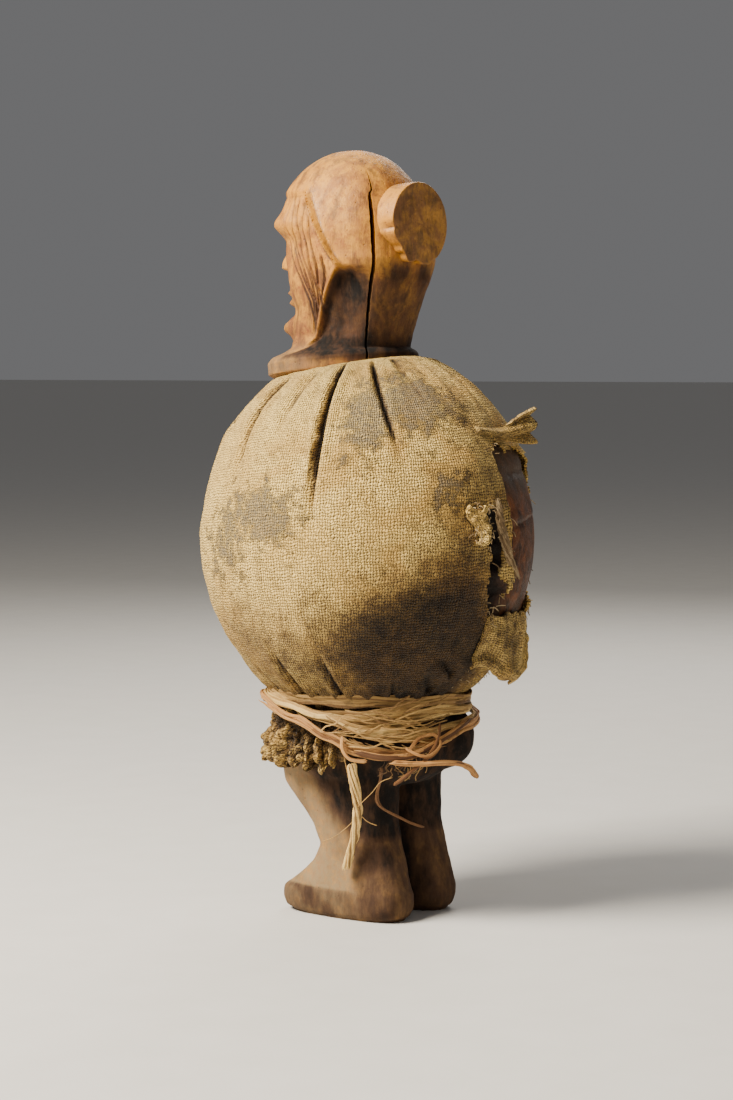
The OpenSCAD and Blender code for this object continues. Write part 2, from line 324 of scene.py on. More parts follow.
class Recipe:
    """A material's nodes while they are being put together."""

    def __init__(self, name: str) -> None:
        """Start a material with nothing but its shader and output."""
        self.material = bpy.data.materials.new(name)
        self.material.use_nodes = True
        self.tree = self.material.node_tree
        self.tree.nodes.clear()
        self.shader = self.tree.nodes.new("ShaderNodeBsdfPrincipled")
        output = self.tree.nodes.new("ShaderNodeOutputMaterial")
        self.join(self.shader.outputs["BSDF"], output.inputs["Surface"])

    def join(self, source: bpy.types.NodeSocket, target: bpy.types.NodeSocket) -> None:
        """Link one socket to another."""
        self.tree.links.new(source, target)

    def put(self, target: bpy.types.NodeSocket, value: object) -> None:
        """Link a socket's source, or store a plain value in it."""
        if isinstance(value, bpy.types.NodeSocket):
            self.join(value, target)
        elif isinstance(value, tuple) and len(value) == 3 and target.type == "RGBA":
            target.default_value = (*value, 1.0)
        else:
            target.default_value = value

    def place(self, source: Coordinates, scale: Sequence[float],
              turn: Sequence[float] = (0.0, 0.0, 0.0)) -> bpy.types.NodeSocket:
        """Return coordinates scaled from metres, or from the UV map, to the pattern's own unit."""
        place = self.tree.nodes.new("ShaderNodeTexCoord")
        mapping = self.tree.nodes.new("ShaderNodeMapping")
        mapping.inputs["Scale"].default_value = tuple(scale)
        mapping.inputs["Rotation"].default_value = tuple(turn)
        self.join(place.outputs[source.value], mapping.inputs["Vector"])
        return mapping.outputs["Vector"]

    def noise(self, place: bpy.types.NodeSocket, scale: float, detail: float = 3.0,
              roughness: float = 0.55, warp: float = 0.0) -> bpy.types.NodeSocket:
        """Return soft noise from about 0 to 1."""
        node = self.tree.nodes.new("ShaderNodeTexNoise")
        node.inputs["Scale"].default_value = scale
        node.inputs["Detail"].default_value = detail
        node.inputs["Roughness"].default_value = roughness
        node.inputs["Distortion"].default_value = warp
        self.join(place, node.inputs["Vector"])
        return node.outputs["Fac"]

    def cells(self, place: bpy.types.NodeSocket, scale: float) -> bpy.types.NodeSocket:
        """Return the distance to the nearest of scattered points."""
        node = self.tree.nodes.new("ShaderNodeTexVoronoi")
        node.inputs["Scale"].default_value = scale
        self.join(place, node.inputs["Vector"])
        return node.outputs["Distance"]

    def tint(self) -> tuple[bpy.types.NodeSocket, ...]:
        """Return the three amounts that paint() stored."""
        node = self.tree.nodes.new("ShaderNodeAttribute")
        node.attribute_name = "tint"
        parts = self.tree.nodes.new("ShaderNodeSeparateColor")
        self.join(node.outputs["Color"], parts.inputs["Color"])
        return parts.outputs[0], parts.outputs[1], parts.outputs[2]

    def sum(self, operation: str, first: object, second: object = 0.0) -> bpy.types.NodeSocket:
        """Return the result of one sum."""
        node = self.tree.nodes.new("ShaderNodeMath")
        node.operation = operation
        self.put(node.inputs[0], first)
        self.put(node.inputs[1], second)
        return node.outputs[0]

    def span(self, value: bpy.types.NodeSocket, low: float, high: float, start: float = 0.0,
             end: float = 1.0) -> bpy.types.NodeSocket:
        """Return a value's range from low to high stretched, and clamped, to start and end."""
        node = self.tree.nodes.new("ShaderNodeMapRange")
        node.interpolation_type = "SMOOTHSTEP"
        self.join(value, node.inputs["Value"])
        node.inputs["From Min"].default_value = low
        node.inputs["From Max"].default_value = high
        node.inputs["To Min"].default_value = start
        node.inputs["To Max"].default_value = end
        return node.outputs["Result"]

    def mix(self, part: object, first: object, second: object,
            mode: str = "MIX") -> bpy.types.NodeSocket:
        """Return two colours mixed."""
        node = self.tree.nodes.new("ShaderNodeMix")
        node.data_type = "RGBA"
        node.blend_type = mode
        self.put(node.inputs[0], part)
        self.put(node.inputs[6], first)
        self.put(node.inputs[7], second)
        return node.outputs[2]

    def worn(self) -> bpy.types.NodeSocket:
        """Return how far the surface stands out, about 0.5 where it is flat."""
        return self.tree.nodes.new("ShaderNodeNewGeometry").outputs["Pointiness"]

    def bump(self, height: bpy.types.NodeSocket, depth: float, below: object = None,
             strength: float = 1.0) -> bpy.types.NodeSocket:
        """Return a normal raised by a height, depth in millimetres, on top of another normal."""
        node = self.tree.nodes.new("ShaderNodeBump")
        node.inputs["Strength"].default_value = strength
        node.inputs["Distance"].default_value = depth * MM
        self.join(height, node.inputs["Height"])
        if below is not None:
            self.join(below, node.inputs["Normal"])
        return node.outputs["Normal"]

    def done(self, colour: object, roughness: object, normal: object,
             **fixed: float) -> bpy.types.Material:
        """Connect the shader and return the material; fixed values go on its own sockets."""
        self.put(self.shader.inputs["Base Color"], colour)
        self.put(self.shader.inputs["Roughness"], roughness)
        self.join(normal, self.shader.inputs["Normal"])
        for name, value in fixed.items():
            self.shader.inputs[name.replace("_", " ").title().replace("Ior", "IOR")].default_value = value
        return self.material


@dataclass(frozen=True)
class CarvedWood:
    """Old carved wood: grain along Z, handled bright on its high places, grimy in its hollows; its tint
    also carries painted highlight and painted shade.
    """

    pale: Colour = srgb(200, 138, 46)
    body: Colour = srgb(142, 88, 42)
    dark: Colour = srgb(60, 39, 26)
    near_black: Colour = srgb(16, 11, 8)
    dust: Colour = srgb(138, 117, 84)
    red: Colour = srgb(126, 62, 38)

    def material(self) -> bpy.types.Material:
        """Build the wood; its tint holds (worn with painted highlight, grime with painted shade, dust)."""
        wood = Recipe("carved_wood")
        across = wood.place(Coordinates.OBJECT, (1000.0, 1000.0, 1000.0))
        along = wood.place(Coordinates.OBJECT, (1000.0, 1000.0, 90.0))
        worn, grime, dust = wood.tint()
        grain = wood.noise(along, 1.1, 4.0, 0.6, 0.4)
        fine = wood.noise(along, 4.5, 3.0, 0.7)
        blotch = wood.noise(across, 0.13, 5.0, 0.62, 0.8)
        mottle = wood.noise(across, 0.5, 5.0, 0.7, 0.3)
        stained = wood.noise(wood.place(Coordinates.OBJECT, (900.0, 900.0, 350.0)), 0.3, 5.0, 0.65)
        colour = wood.mix(wood.span(blotch, 0.38, 0.62), self.body, self.pale)
        colour = wood.mix(wood.span(mottle, 0.5, 0.7, 0.0, 0.6), colour, self.red)
        colour = wood.mix(wood.span(grain, 0.5, 0.74, 0.0, 0.42), colour, self.dark)
        colour = wood.mix(wood.span(fine, 0.52, 0.75, 0.0, 0.32), colour, self.dark)
        bright = wood.sum("MULTIPLY", worn, wood.span(stained, 0.62, 0.42, 0.45, 0.92))
        colour = wood.mix(bright, colour, self.pale)
        colour = wood.mix(wood.span(mottle, 0.52, 0.72, 0.0, 0.3), colour, self.red)
        colour = wood.mix(wood.span(fine, 0.52, 0.74, 0.0, 0.26), colour, self.dark)
        dirty = wood.span(stained, 0.48, 0.68, 0.0, 0.55)
        colour = wood.mix(dirty, colour, self.dark)
        dusty = wood.sum("MULTIPLY", dust, wood.span(mottle, 0.3, 0.62, 0.55, 1.0))
        colour = wood.mix(dusty, colour, self.dust)
        soiled = wood.sum("MULTIPLY", grime, wood.span(stained, 0.3, 0.7, 0.82, 1.2))
        colour = wood.mix(wood.span(soiled, 0.0, 0.75, 0.0, 0.95), colour, self.dark)
        # Near black where grime and painted shade are heaviest, as in the painted shadow on the legs.
        colour = wood.mix(wood.span(soiled, 0.65, 1.15), colour, self.near_black)
        clean = wood.sum("SUBTRACT", 1.0, grime)
        rubbed = wood.sum("MULTIPLY", clean, wood.span(wood.worn(), 0.51, 0.57, 0.0, 0.45))
        colour = wood.mix(rubbed, colour, self.pale)
        # Darker in the hollows: grime, and painted shade there as well.
        colour = wood.mix(wood.span(wood.worn(), 0.495, 0.43, 0.0, 0.9), colour, self.dark)
        pit = wood.span(wood.cells(across, 0.33), 0.02, 0.14)
        colour = wood.mix(wood.span(pit, 0.0, 1.0, 0.6, 0.0), colour, self.dark)
        normal = wood.bump(grain, 0.14)
        normal = wood.bump(mottle, 0.16, normal)
        normal = wood.bump(fine, 0.07, normal)
        normal = wood.bump(pit, 0.12, normal)
        shine = wood.span(worn, 0.0, 1.0, 0.6, 0.31)
        shine = wood.sum("ADD", shine, wood.span(mottle, 0.3, 0.7, 0.0, 0.18))
        shine = wood.sum("ADD", shine, wood.sum("MULTIPLY", grime, 0.3))
        return wood.done(colour, shine, normal, specular_ior_level=0.32)


@dataclass(frozen=True)
class WovenCloth:
    """Coarse plain-weave cotton, stained by use; its UV map counts threads."""

    pale: Colour = srgb(252, 214, 124)
    body: Colour = srgb(214, 172, 92)
    brown: Colour = srgb(84, 58, 32)
    near_black: Colour = srgb(26, 18, 12)
    grey: Colour = srgb(120, 108, 88)
    threads_across: float = 370.0
    threads_up: float = 150.0

    def material(self, name: str = "woven_cloth", across: float = 0.0,
                 up: float = 0.0) -> bpy.types.Material:
        """Build the cloth; its tint holds (grey patches, dark stain with painted shade, pale).

        Args:
            name: the material's name.
            across: threads across the UV map, or 0 for the bundle's own.
            up: threads up the UV map, or 0 for the bundle's own.

        Returns:
            The material.
        """
        cloth = Recipe(name)
        spot = cloth.place(Coordinates.OBJECT, (1000.0, 1000.0, 1000.0))
        count = (across or self.threads_across, up or self.threads_up, 1.0)
        threads = cloth.place(Coordinates.UV, count)
        wander = cloth.noise(spot, 0.35, 3.0, 0.6)
        parts = cloth.tree.nodes.new("ShaderNodeSeparateXYZ")
        cloth.join(threads, parts.inputs[0])
        drift = cloth.sum("MULTIPLY", wander, 2.4)
        warp = self._thread(cloth, cloth.sum("ADD", parts.outputs[0], drift))
        weft = self._thread(cloth, cloth.sum("ADD", parts.outputs[1], drift))
        over = cloth.sum("ADD", cloth.sum("MULTIPLY", cloth.sum("MULTIPLY", warp, weft), 0.5), 0.5)
        under = cloth.sum("SUBTRACT", 1.0, over)
        lifted = cloth.sum("MULTIPLY", cloth.sum("ABSOLUTE", warp), over)
        sunk = cloth.sum("MULTIPLY", cloth.sum("ABSOLUTE", weft), under)
        weave = cloth.sum("ADD", lifted, sunk)
        grey, stain_and_shade, pale = cloth.tint()
        broad = cloth.noise(spot, 0.06, 4.0, 0.6, 0.5)
        patchy = cloth.noise(spot, 0.2, 6.0, 0.75, 0.3)
        crust = cloth.noise(spot, 0.34, 6.0, 0.8)
        speck = cloth.noise(spot, 0.9, 4.0, 0.75)
        colour = cloth.mix(cloth.span(broad, 0.4, 0.6), self.body, self.pale)
        colour = cloth.mix(cloth.sum("MULTIPLY", pale, 0.75), colour, self.pale)
        mist = cloth.sum("MULTIPLY", cloth.span(patchy, 0.46, 0.72), 0.36)
        colour = cloth.mix(mist, colour, self.brown)
        gaps = cloth.sum("MULTIPLY", cloth.span(weave, 0.7, 0.15), cloth.span(broad, 0.35, 0.6, 0.55, 1.0))
        colour = cloth.mix(gaps, colour, self.brown)
        colour = cloth.mix(cloth.span(weave, 0.34, 0.05, 0.0, 0.6), colour, self.near_black)
        edge = cloth.sum("ADD", cloth.sum("MULTIPLY", patchy, 0.75), cloth.sum("MULTIPLY", crust, 0.45))
        crusted = cloth.sum("ADD", cloth.sum("MULTIPLY", grey, 0.3), edge)
        crusted = cloth.span(crusted, 0.73, 0.84)
        greyed = cloth.sum("MULTIPLY", crusted, cloth.span(speck, 0.35, 0.65, 0.95, 0.5))
        colour = cloth.mix(greyed, colour, self.grey)
        uneven = cloth.sum("MULTIPLY", cloth.sum("SUBTRACT", patchy, 0.25), 0.9)
        uneven = cloth.sum("ADD", uneven, cloth.sum("MULTIPLY", broad, 0.5))
        stain_and_shade_level = cloth.sum("ADD", cloth.sum("MULTIPLY", stain_and_shade, 0.95), uneven)
        stain_and_shade_level = cloth.sum("ADD", stain_and_shade_level, cloth.sum("MULTIPLY", speck, 0.3))
        stain_and_shade_level = cloth.sum("ADD", stain_and_shade_level, cloth.sum("MULTIPLY", gaps, 0.22))
        colour = cloth.mix(cloth.span(stain_and_shade_level, 0.7, 1.45, 0.0, 0.9), colour, self.brown)
        colour = cloth.mix(cloth.span(stain_and_shade_level, 1.15, 1.8, 0.0, 0.96), colour, self.near_black)
        dirt = cloth.sum("MULTIPLY", cloth.span(speck, 0.56, 0.7), 0.55)
        colour = cloth.mix(dirt, colour, self.brown)
        colour = cloth.mix(cloth.span(cloth.worn(), 0.49, 0.42, 0.0, 0.8), colour, self.near_black)
        normal = cloth.bump(patchy, 0.8)
        normal = cloth.bump(crusted, 0.35, normal)
        normal = cloth.bump(speck, 0.3, normal)
        normal = cloth.bump(weave, 0.8, normal)
        return cloth.done(colour, 0.92, normal, specular_ior_level=0.15, sheen_weight=0.08)

    @staticmethod
    def _thread(cloth: Recipe, count: bpy.types.NodeSocket) -> bpy.types.NodeSocket:
        """Return a wave with one half-turn to each thread."""
        return cloth.sum("SINE", cloth.sum("MULTIPLY", count, math.pi))


@dataclass(frozen=True)
class DriedHide:
    """Smooth hide, dried hard: red-brown and faintly glossy, grey with dust where it is stained."""

    body: Colour = srgb(70, 40, 20)
    glow: Colour = srgb(124, 71, 34)
    dark: Colour = srgb(30, 20, 14)
    ash: Colour = srgb(76, 60, 42)

    def material(self) -> bpy.types.Material:
        """Build the hide; its tint holds (dust, dark, unused)."""
        hide = Recipe("dried_hide")
        spot = hide.place(Coordinates.OBJECT, (1000.0, 1000.0, 1000.0))
        dust, dark, _ = hide.tint()
        patchy = hide.noise(spot, 0.12, 5.0, 0.62, 0.8)
        fine = hide.noise(spot, 0.8, 4.0, 0.7)
        streak = hide.noise(hide.place(Coordinates.OBJECT, (900.0, 900.0, 180.0)), 0.5, 5.0, 0.7, 0.5)
        colour = hide.mix(hide.span(patchy, 0.38, 0.66), self.body, self.glow)
        colour = hide.mix(hide.span(streak, 0.44, 0.64, 0.0, 0.8), colour, self.dark)
        colour = hide.mix(hide.span(fine, 0.5, 0.8, 0.0, 0.5), colour, self.dark)
        colour = hide.mix(dust, colour, self.ash)
        colour = hide.mix(dark, colour, self.dark)
        normal = hide.bump(patchy, 1.2)
        normal = hide.bump(streak, 0.7, normal)
        normal = hide.bump(fine, 0.2, normal)
        shine = hide.span(fine, 0.3, 0.7, 0.44, 0.66)
        return hide.done(colour, shine, normal, specular_ior_level=0.3)


@dataclass(frozen=True)
class PackedEarth:
    """Dark packed plant and earth matter."""

    body: Colour = srgb(36, 24, 17)
    crumb: Colour = srgb(72, 50, 34)

    def material(self) -> bpy.types.Material:
        """Build the packing."""
        earth = Recipe("packed_earth")
        spot = earth.place(Coordinates.OBJECT, (1000.0, 1000.0, 1000.0))
        lumps = earth.noise(spot, 0.35, 6.0, 0.75, 0.5)
        colour = earth.mix(earth.span(lumps, 0.42, 0.7), self.body, self.crumb)
        return earth.done(colour, 0.95, earth.bump(lumps, 1.2), specular_ior_level=0.2)


@dataclass(frozen=True)
class Raffia:
    """Dry leaf fibre: fine lines along each strand and a colour that changes along it."""

    name: str
    pale: Colour
    body: Colour
    dark: Colour
    gloss: float = 0.5

    def material(self) -> bpy.types.Material:
        """Build the fibre; its UV map runs round and along each strand, and its tint holds
        (strand's own shade, grime, unused)."""
        fibre = Recipe(self.name)
        spot = fibre.place(Coordinates.OBJECT, (1000.0, 1000.0, 1000.0))
        line = fibre.place(Coordinates.UV, (26.0, 3.0, 1.0))
        own, grime, _ = fibre.tint()
        streak = fibre.noise(line, 1.0, 4.0, 0.7)
        patchy = fibre.noise(spot, 0.25, 4.0, 0.65)
        shade = fibre.sum("ADD", fibre.sum("MULTIPLY", own, 0.6), fibre.sum("MULTIPLY", patchy, 0.5))
        colour = fibre.mix(fibre.span(shade, 0.25, 0.8), self.body, self.pale)
        colour = fibre.mix(fibre.span(own, 0.3, 0.0, 0.0, 0.7), colour, self.dark)
        colour = fibre.mix(fibre.span(streak, 0.48, 0.68, 0.0, 0.75), colour, self.dark)
        colour = fibre.mix(fibre.span(patchy, 0.54, 0.7, 0.0, 0.5), colour, self.dark)
        colour = fibre.mix(grime, colour, self.dark)
        normal = fibre.bump(streak, 0.22)
        return fibre.done(colour, fibre.span(streak, 0.3, 0.7, self.gloss, 0.75), normal,
                          specular_ior_level=0.4)


RAFFIA_TAN = Raffia("raffia_tan", srgb(204, 162, 94), srgb(130, 92, 50), srgb(44, 29, 17))
RAFFIA_ORANGE = Raffia("raffia_orange", srgb(216, 160, 92), srgb(146, 94, 46), srgb(50, 30, 16))
RAFFIA_GOLD = Raffia("raffia_gold", srgb(254, 216, 136), srgb(204, 158, 86), srgb(80, 54, 28))
NECK_CORD = Raffia("neck_cord_fibre", srgb(150, 120, 80), srgb(104, 80, 50), srgb(44, 32, 20), 0.8)
RAFFIA_DARK = Raffia("raffia_dark", srgb(140, 96, 54), srgb(84, 55, 31), srgb(38, 25, 16))


# ------------------------------------------------------------------------------ studio


@dataclass
class Studio:
    """The floor, the lights and the camera."""

    turn: float = 126.0
    lift: float = 4.0
    distance: float = 883.0
    lens: float = 85.0
    target: tuple[float, float, float] = (0.8, -1.0, 123.0)

    def build(self) -> None:
        """Make the camera first, then the floor and the lights."""
        self._camera()
        self._floor()
        self._lights()

    def _stand(self, turn: float, lift: float, distance: float) -> Vector:
        """Return a place seen from the target at a bearing, a lift and a distance, in metres."""
        level = math.cos(math.radians(lift))
        away = bearing(turn) * level + Vector((0.0, 0.0, math.sin(math.radians(lift))))
        return (Vector(self.target) + away * distance) * MM

    def _aim(self, thing: bpy.types.Object) -> None:
        """Turn a camera or a light towards the target."""
        look = Vector(self.target) * MM - thing.location
        thing.rotation_euler = look.to_track_quat("-Z", "Y").to_euler()

    def _camera(self) -> None:
        """Make the camera at the chosen viewing angle."""
        only()
        bpy.ops.object.camera_add(location=self._stand(self.turn, self.lift, self.distance))
        camera = bpy.context.active_object
        self._aim(camera)
        camera.data.sensor_fit = "VERTICAL"
        camera.data.sensor_height = 36.0
        camera.data.lens = self.lens
        bpy.context.scene.camera = camera

    def _floor(self) -> None:
        """Make a plain pale floor."""
        only()
        bpy.ops.mesh.primitive_plane_add(size=60.0)
        floor = bpy.context.active_object
        floor.name = "floor"
        paper = Recipe("pale_floor")
        spot = paper.place(Coordinates.OBJECT, (1000.0, 1000.0, 1000.0))
        grain = paper.noise(spot, 0.05, 3.0)
        colour = paper.mix(grain, srgb(205, 202, 196), srgb(214, 211, 206))
        floor.data.materials.append(paper.done(colour, 0.9, paper.bump(grain, 0.05)))

    def _light(self, turn: float, lift: float, distance: float, size: float, power: float,
               colour: Colour) -> None:
        """Make one soft area light."""
        only()
        bpy.ops.object.light_add(type="AREA", location=self._stand(turn, lift, distance))
        lamp = bpy.context.active_object
        self._aim(lamp)
        lamp.data.size = size * MM
        lamp.data.energy = power
        lamp.data.color = colour

    def _lights(self) -> None:
        """Set a warm key from the front left, a weak fill, and a dim pale surround."""
        self._light(self.turn - 60.0, 44.0, 900.0, 380.0, 28.0, (1.0, 0.92, 0.79))
        self._light(self.turn + 40.0, 15.0, 1200.0, 900.0, 1.2, (1.0, 0.96, 0.9))
        self._light(self.turn + 165.0, 35.0, 1000.0, 500.0, 5.0, (1.0, 0.96, 0.9))
        world = bpy.data.worlds.new("studio")
        bpy.context.scene.world = world
        world.use_nodes = True
        world.node_tree.nodes["Background"].inputs["Color"].default_value = (0.9, 0.9, 0.92, 1.0)
        world.node_tree.nodes["Background"].inputs["Strength"].default_value = 0.17


# ------------------------------------------------------------------------------ carved figure


@dataclass
class CarvedFigure:
    """The wooden figure: head with its hair cap and bun, shoulder plate, post, hips, legs, feet."""

    height: float = 258.0
    dome_start: float = 232.0
    head_forward: float = 6.5
    head_turn: float = 4.0
    plate_base: float = 183.2
    hairline: float = 243.0
    leg_side: float = 12.5
    bun_height: float = 232.3
    bun_reach: float = 28.5
    bun_wide: float = 14.4
    bun_tall: float = 13.9
    crack_bearing: float = 143.0
    finish: CarvedWood = field(default_factory=CarvedWood)

    # Sections of plate, neck and head: height, half width, half depth, middle, squareness.
    head_sections = (
        (183.2, 23.4, 23.6, -5.1, 2.1), (184.4, 25.0, 25.2, -5.1, 2.1),
        (188.2, 25.2, 25.4, -5.1, 2.1), (189.6, 24.0, 24.4, -4.9, 2.1),
        (190.8, 20.6, 21.4, -3.4, 2.2), (192.2, 18.8, 19.6, -1.4, 2.4),
        (196.0, 18.2, 19.2, -0.2, 2.5), (203.0, 19.0, 20.8, 0.2, 2.6),
        (214.0, 21.0, 24.4, 0.6, 2.6), (221.0, 22.0, 25.4, 0.5, 2.6),
        (230.0, 22.4, 24.8, -0.2, 2.5), (238.0, 21.8, 24.2, -0.6, 2.4),
        (258.0, 21.6, 24.0, -0.8, 2.2),
    )
    # Bearing of the hair cap's front edge at each height, down to the tip of its side lobe.
    cap_edge = ((216.4, 121.0), (218.6, 115.0), (221.4, 109.5), (225.0, 104.6), (230.0, 99.6),
                (237.0, 91.6), (241.0, 86.0), (244.0, 80.0))
    # Bearing of the jaw's rear edge at each height.
    jaw_edge = ((189.0, 62.0), (194.5, 88.0), (207.0, 99.0), (216.6, 112.0), (218.6, 116.0))
    # Striations on each cheek: bearing at each height.
    striations = (
        ((196.0, 84.0), (207.0, 80.0), (217.0, 62.0), (228.0, 52.0)),
        ((197.0, 87.0), (207.0, 84.0), (217.0, 71.0), (226.0, 61.0), (238.0, 58.0)),
        ((200.0, 88.0), (207.0, 86.5), (217.0, 76.0), (225.0, 67.0), (241.0, 65.0)),
        ((202.0, 90.0), (208.0, 89.0), (217.0, 81.5), (225.0, 74.0), (241.0, 71.0)),
        ((204.0, 92.0), (209.0, 91.5), (217.0, 87.0), (225.0, 81.5), (241.0, 77.0)),
        ((205.0, 94.5), (210.0, 94.5), (217.0, 92.5), (225.0, 89.0), (241.0, 82.5)),
        ((203.0, 96.5), (210.0, 98.5), (217.0, 101.0), (222.0, 100.0)),
    )
    # Half sections of a leg and its foot: height, half width, half depth, middle, squareness.
    leg_sections = (
        (0.0, 7.6, 20.6, 0.6, 2.6), (1.6, 9.6, 23.8, -0.2, 2.8), (4.5, 10.2, 24.8, -0.4, 3.1),
        (8.6, 10.2, 24.4, -0.1, 3.2), (10.0, 9.8, 22.8, 1.0, 3.1), (14.0, 9.5, 19.6, 3.1, 3.0),
        (18.0, 9.4, 16.8, 4.8, 3.0), (24.5, 9.6, 13.9, 5.6, 3.0), (31.0, 10.1, 14.6, 3.4, 3.0),
        (38.0, 10.8, 17.4, 0.4, 3.0), (45.0, 11.6, 20.6, -2.8, 2.9), (52.0, 12.4, 22.4, -2.8, 2.7),
        (60.0, 12.4, 20.5, -1.0, 2.5),
    )
    hip_sections = ((45.0, 20.0), (49.0, 26.5), (55.0, 28.4), (70.0, 28.4), (74.0, 27.0),
                    (79.0, 20.0))

    def build(self) -> bpy.types.Object:
        """Carve the parts, join them into one solid and dress it."""
        head = self._head()
        self._unite(head, self._bun())
        self._cut(head, self._crack())
        self._to_body(head)
        self._unite(head, self._post())
        self._unite(head, self._lower_body())
        head.name = "figure_carving"
        head.data.name = "figure_carving"
        paint(head, self._patina)
        finish_piece(head, self.finish.material(), ["carved_figure"], 40.0)
        return head

    def _unite(self, whole: bpy.types.Object, part: bpy.types.Object) -> None:
        """Merge a part into the whole as one solid."""
        use_modifier(whole, "BOOLEAN", operation="UNION", object=part, solver="EXACT")
        bpy.data.objects.remove(part)

    def _cut(self, whole: bpy.types.Object, tool: bpy.types.Object) -> None:
        """Cut a tool's shape out of the whole."""
        use_modifier(whole, "BOOLEAN", operation="DIFFERENCE", object=tool, solver="EXACT")
        bpy.data.objects.remove(tool)

    def _to_body(self, head: bpy.types.Object) -> None:
        """Turn the head and put it on its axis."""
        head.rotation_euler = (0.0, 0.0, math.radians(-self.head_turn))
        head.location = (0.0, -self.head_forward * MM, 0.0)
        settle(head)

    def _head(self) -> bpy.types.Object:
        """Make the plate, neck and head in the head's own frame."""
        foot, shoulder = 0.03, 0.75

        def place(degrees: float, part: float) -> Vector:
            """Return the surface point at a bearing and a part of the way up."""
            scale = 1.0
            if part < foot:
                level = self.plate_base
                scale = part / foot
            elif part < shoulder:
                level = blend(self.plate_base, self.dome_start, (part - foot) / (shoulder - foot))
            else:
                angle = (part - shoulder) / (1.0 - shoulder) * math.pi / 2.0
                level = self.dome_start + (self.height - self.dome_start) * math.sin(angle)
                scale = math.cos(angle)
            wide, deep, middle, square = read_stations(self.head_sections, level)
            reach = squared_radius(degrees, wide, deep, square)
            reach = (reach + self._relief(degrees, level) * min(1.0, scale * 3.0)) * scale
            point = bearing(degrees) * reach + Vector((0.0, middle * scale, level))
            point.z += 0.09 * point.y * (1.0 - smooth(188.0, 196.0, level)) * scale
            return point

        head = bent_ball("head", 300, 150, place)
        push_points(head, lambda p, n: 0.22 * rough(p, 7.0, 3.0) + 0.07 * rough(p, 2.2, 9.0))
        return head

    def _relief(self, degrees: float, level: float) -> float:
        """Return how far the carving stands out from the plain head at a place."""
        side = abs(degrees)
        across = 0.385
        edge = read_stations(self.cap_edge, level)[0]
        jaw = read_stations(self.jaw_edge, level)[0]
        from_edge = (side - edge) * across
        rear = smooth(132.0, 156.0, side)
        softness = blend(1.5, 7.5, rear)
        nape = blend(217.2, 214.0, rear)
        low_edge = smooth(-softness, softness, level - nape)
        front_edge = smooth(-0.4, 0.4, max(level - self.hairline, from_edge))
        in_cap = front_edge * low_edge
        raised = blend(1.3, 0.7, rear) * in_cap
        lip = bell(from_edge - 0.5, 0.9) * smooth(216.8, 219.5, level)
        raised += 2.0 * lip * smooth(245.0, 241.0, level)
        raised -= 0.8 * bell(from_edge + 1.3, 0.8) * smooth(219.0, 222.0, level) * smooth(
            244.0, 240.0, level)
        raised += self._face(side, level) * (1.0 - smooth(-0.4, 0.4, from_edge) * in_cap)
        if level < 219.2:
            under = blend(215.2, 208.5, smooth(122.0, 146.0, side))
            behind = smooth(-0.3, 1.0, (side - jaw) * across) * smooth(219.1, under, level)
            hollow = 2.2 * (1.0 - smooth(122.0, 150.0, side)) + 1.0 * bell(side - 120.0, 12.0)
            raised -= behind * hollow * smooth(189.5, 200.0, level)
            raised += 0.6 * bell((side - jaw) * across + 0.9, 0.8) * smooth(191.0, 197.0, level)
            for flute in range(6):
                line = (side - 115.0 - 4.6 * flute - (219.0 - level) * 0.12) * across
                raised -= 0.2 * bell(line, 0.5) * smooth(202.0, 214.0, level) * behind
        return raised

    def _striation(self, side: float, level: float) -> float:
        """Return how deep in one of the cheek's striations a place is, from 0 to 1."""
        deep = 0.0
        for line in self.striations:
            if line[0][0] - 1.0 < level < line[-1][0] + 1.0:
                away = (side - read_stations(line, level)[0]) * 0.385
                away += 0.35 * math.sin(0.45 * level + line[0][1])
                fade = smooth(line[0][0] - 1.0, line[0][0] + 2.0, level)
                fade *= smooth(line[-1][0] + 1.0, line[-1][0] - 1.0, level)
                deep = max(deep, bell(away, 0.42) * fade)
        return deep

    def _face(self, side: float, level: float) -> float:
        """Return the relief of the brow, eyes, nose, mouth, beard and cheek striations."""
        front = 1.0 - smooth(48.0, 92.0, side)
        raised = -2.3 * front * smooth(196.0, 206.0, level) * smooth(233.0, 227.0, level)
        raised += 2.0 * bell(level - 233.2, 3.4) * (1.0 - smooth(38.0, 80.0, side))
        raised -= 1.0 * bell(side - 24.0, 13.0) * bell(level - 226.0, 3.4)
        raised += 1.6 * bell(side - 24.0, 9.0) * bell(level - 225.2, 1.9)
        raised -= 0.8 * bell(side - 24.0, 8.0) * bell(level - 225.2, 0.4)
        bridge = smooth(216.4, 219.2, level) * blend(1.0, 0.42, smooth(219.5, 231.0, level))
        nose_wide = blend(10.5, 6.5, smooth(218.0, 227.0, level))
        raised += 9.8 * bridge * bell(side, nose_wide) * smooth(236.0, 229.0, level)
        raised += 3.4 * bell(side, 24.0) * bell(level - 208.5, 6.0)
        lips = bell(level - 210.4, 1.4) + bell(level - 206.9, 1.4)
        raised += 4.6 * bell(side, 17.0) * lips
        raised -= 0.9 * bell(side, 16.0) * bell(level - 208.6, 0.5)
        raised += 10.4 * bell(side, 21.0) * bell(level - 198.4, 4.6)
        raised -= 0.75 * self._striation(side, level)
        return raised

    def _bun(self) -> bpy.types.Object:
        """Make the bun, a short round billet that points straight back."""
        base, side_end, rim, facet, under = 0.08, 0.5, 0.56, 0.9, 0.93

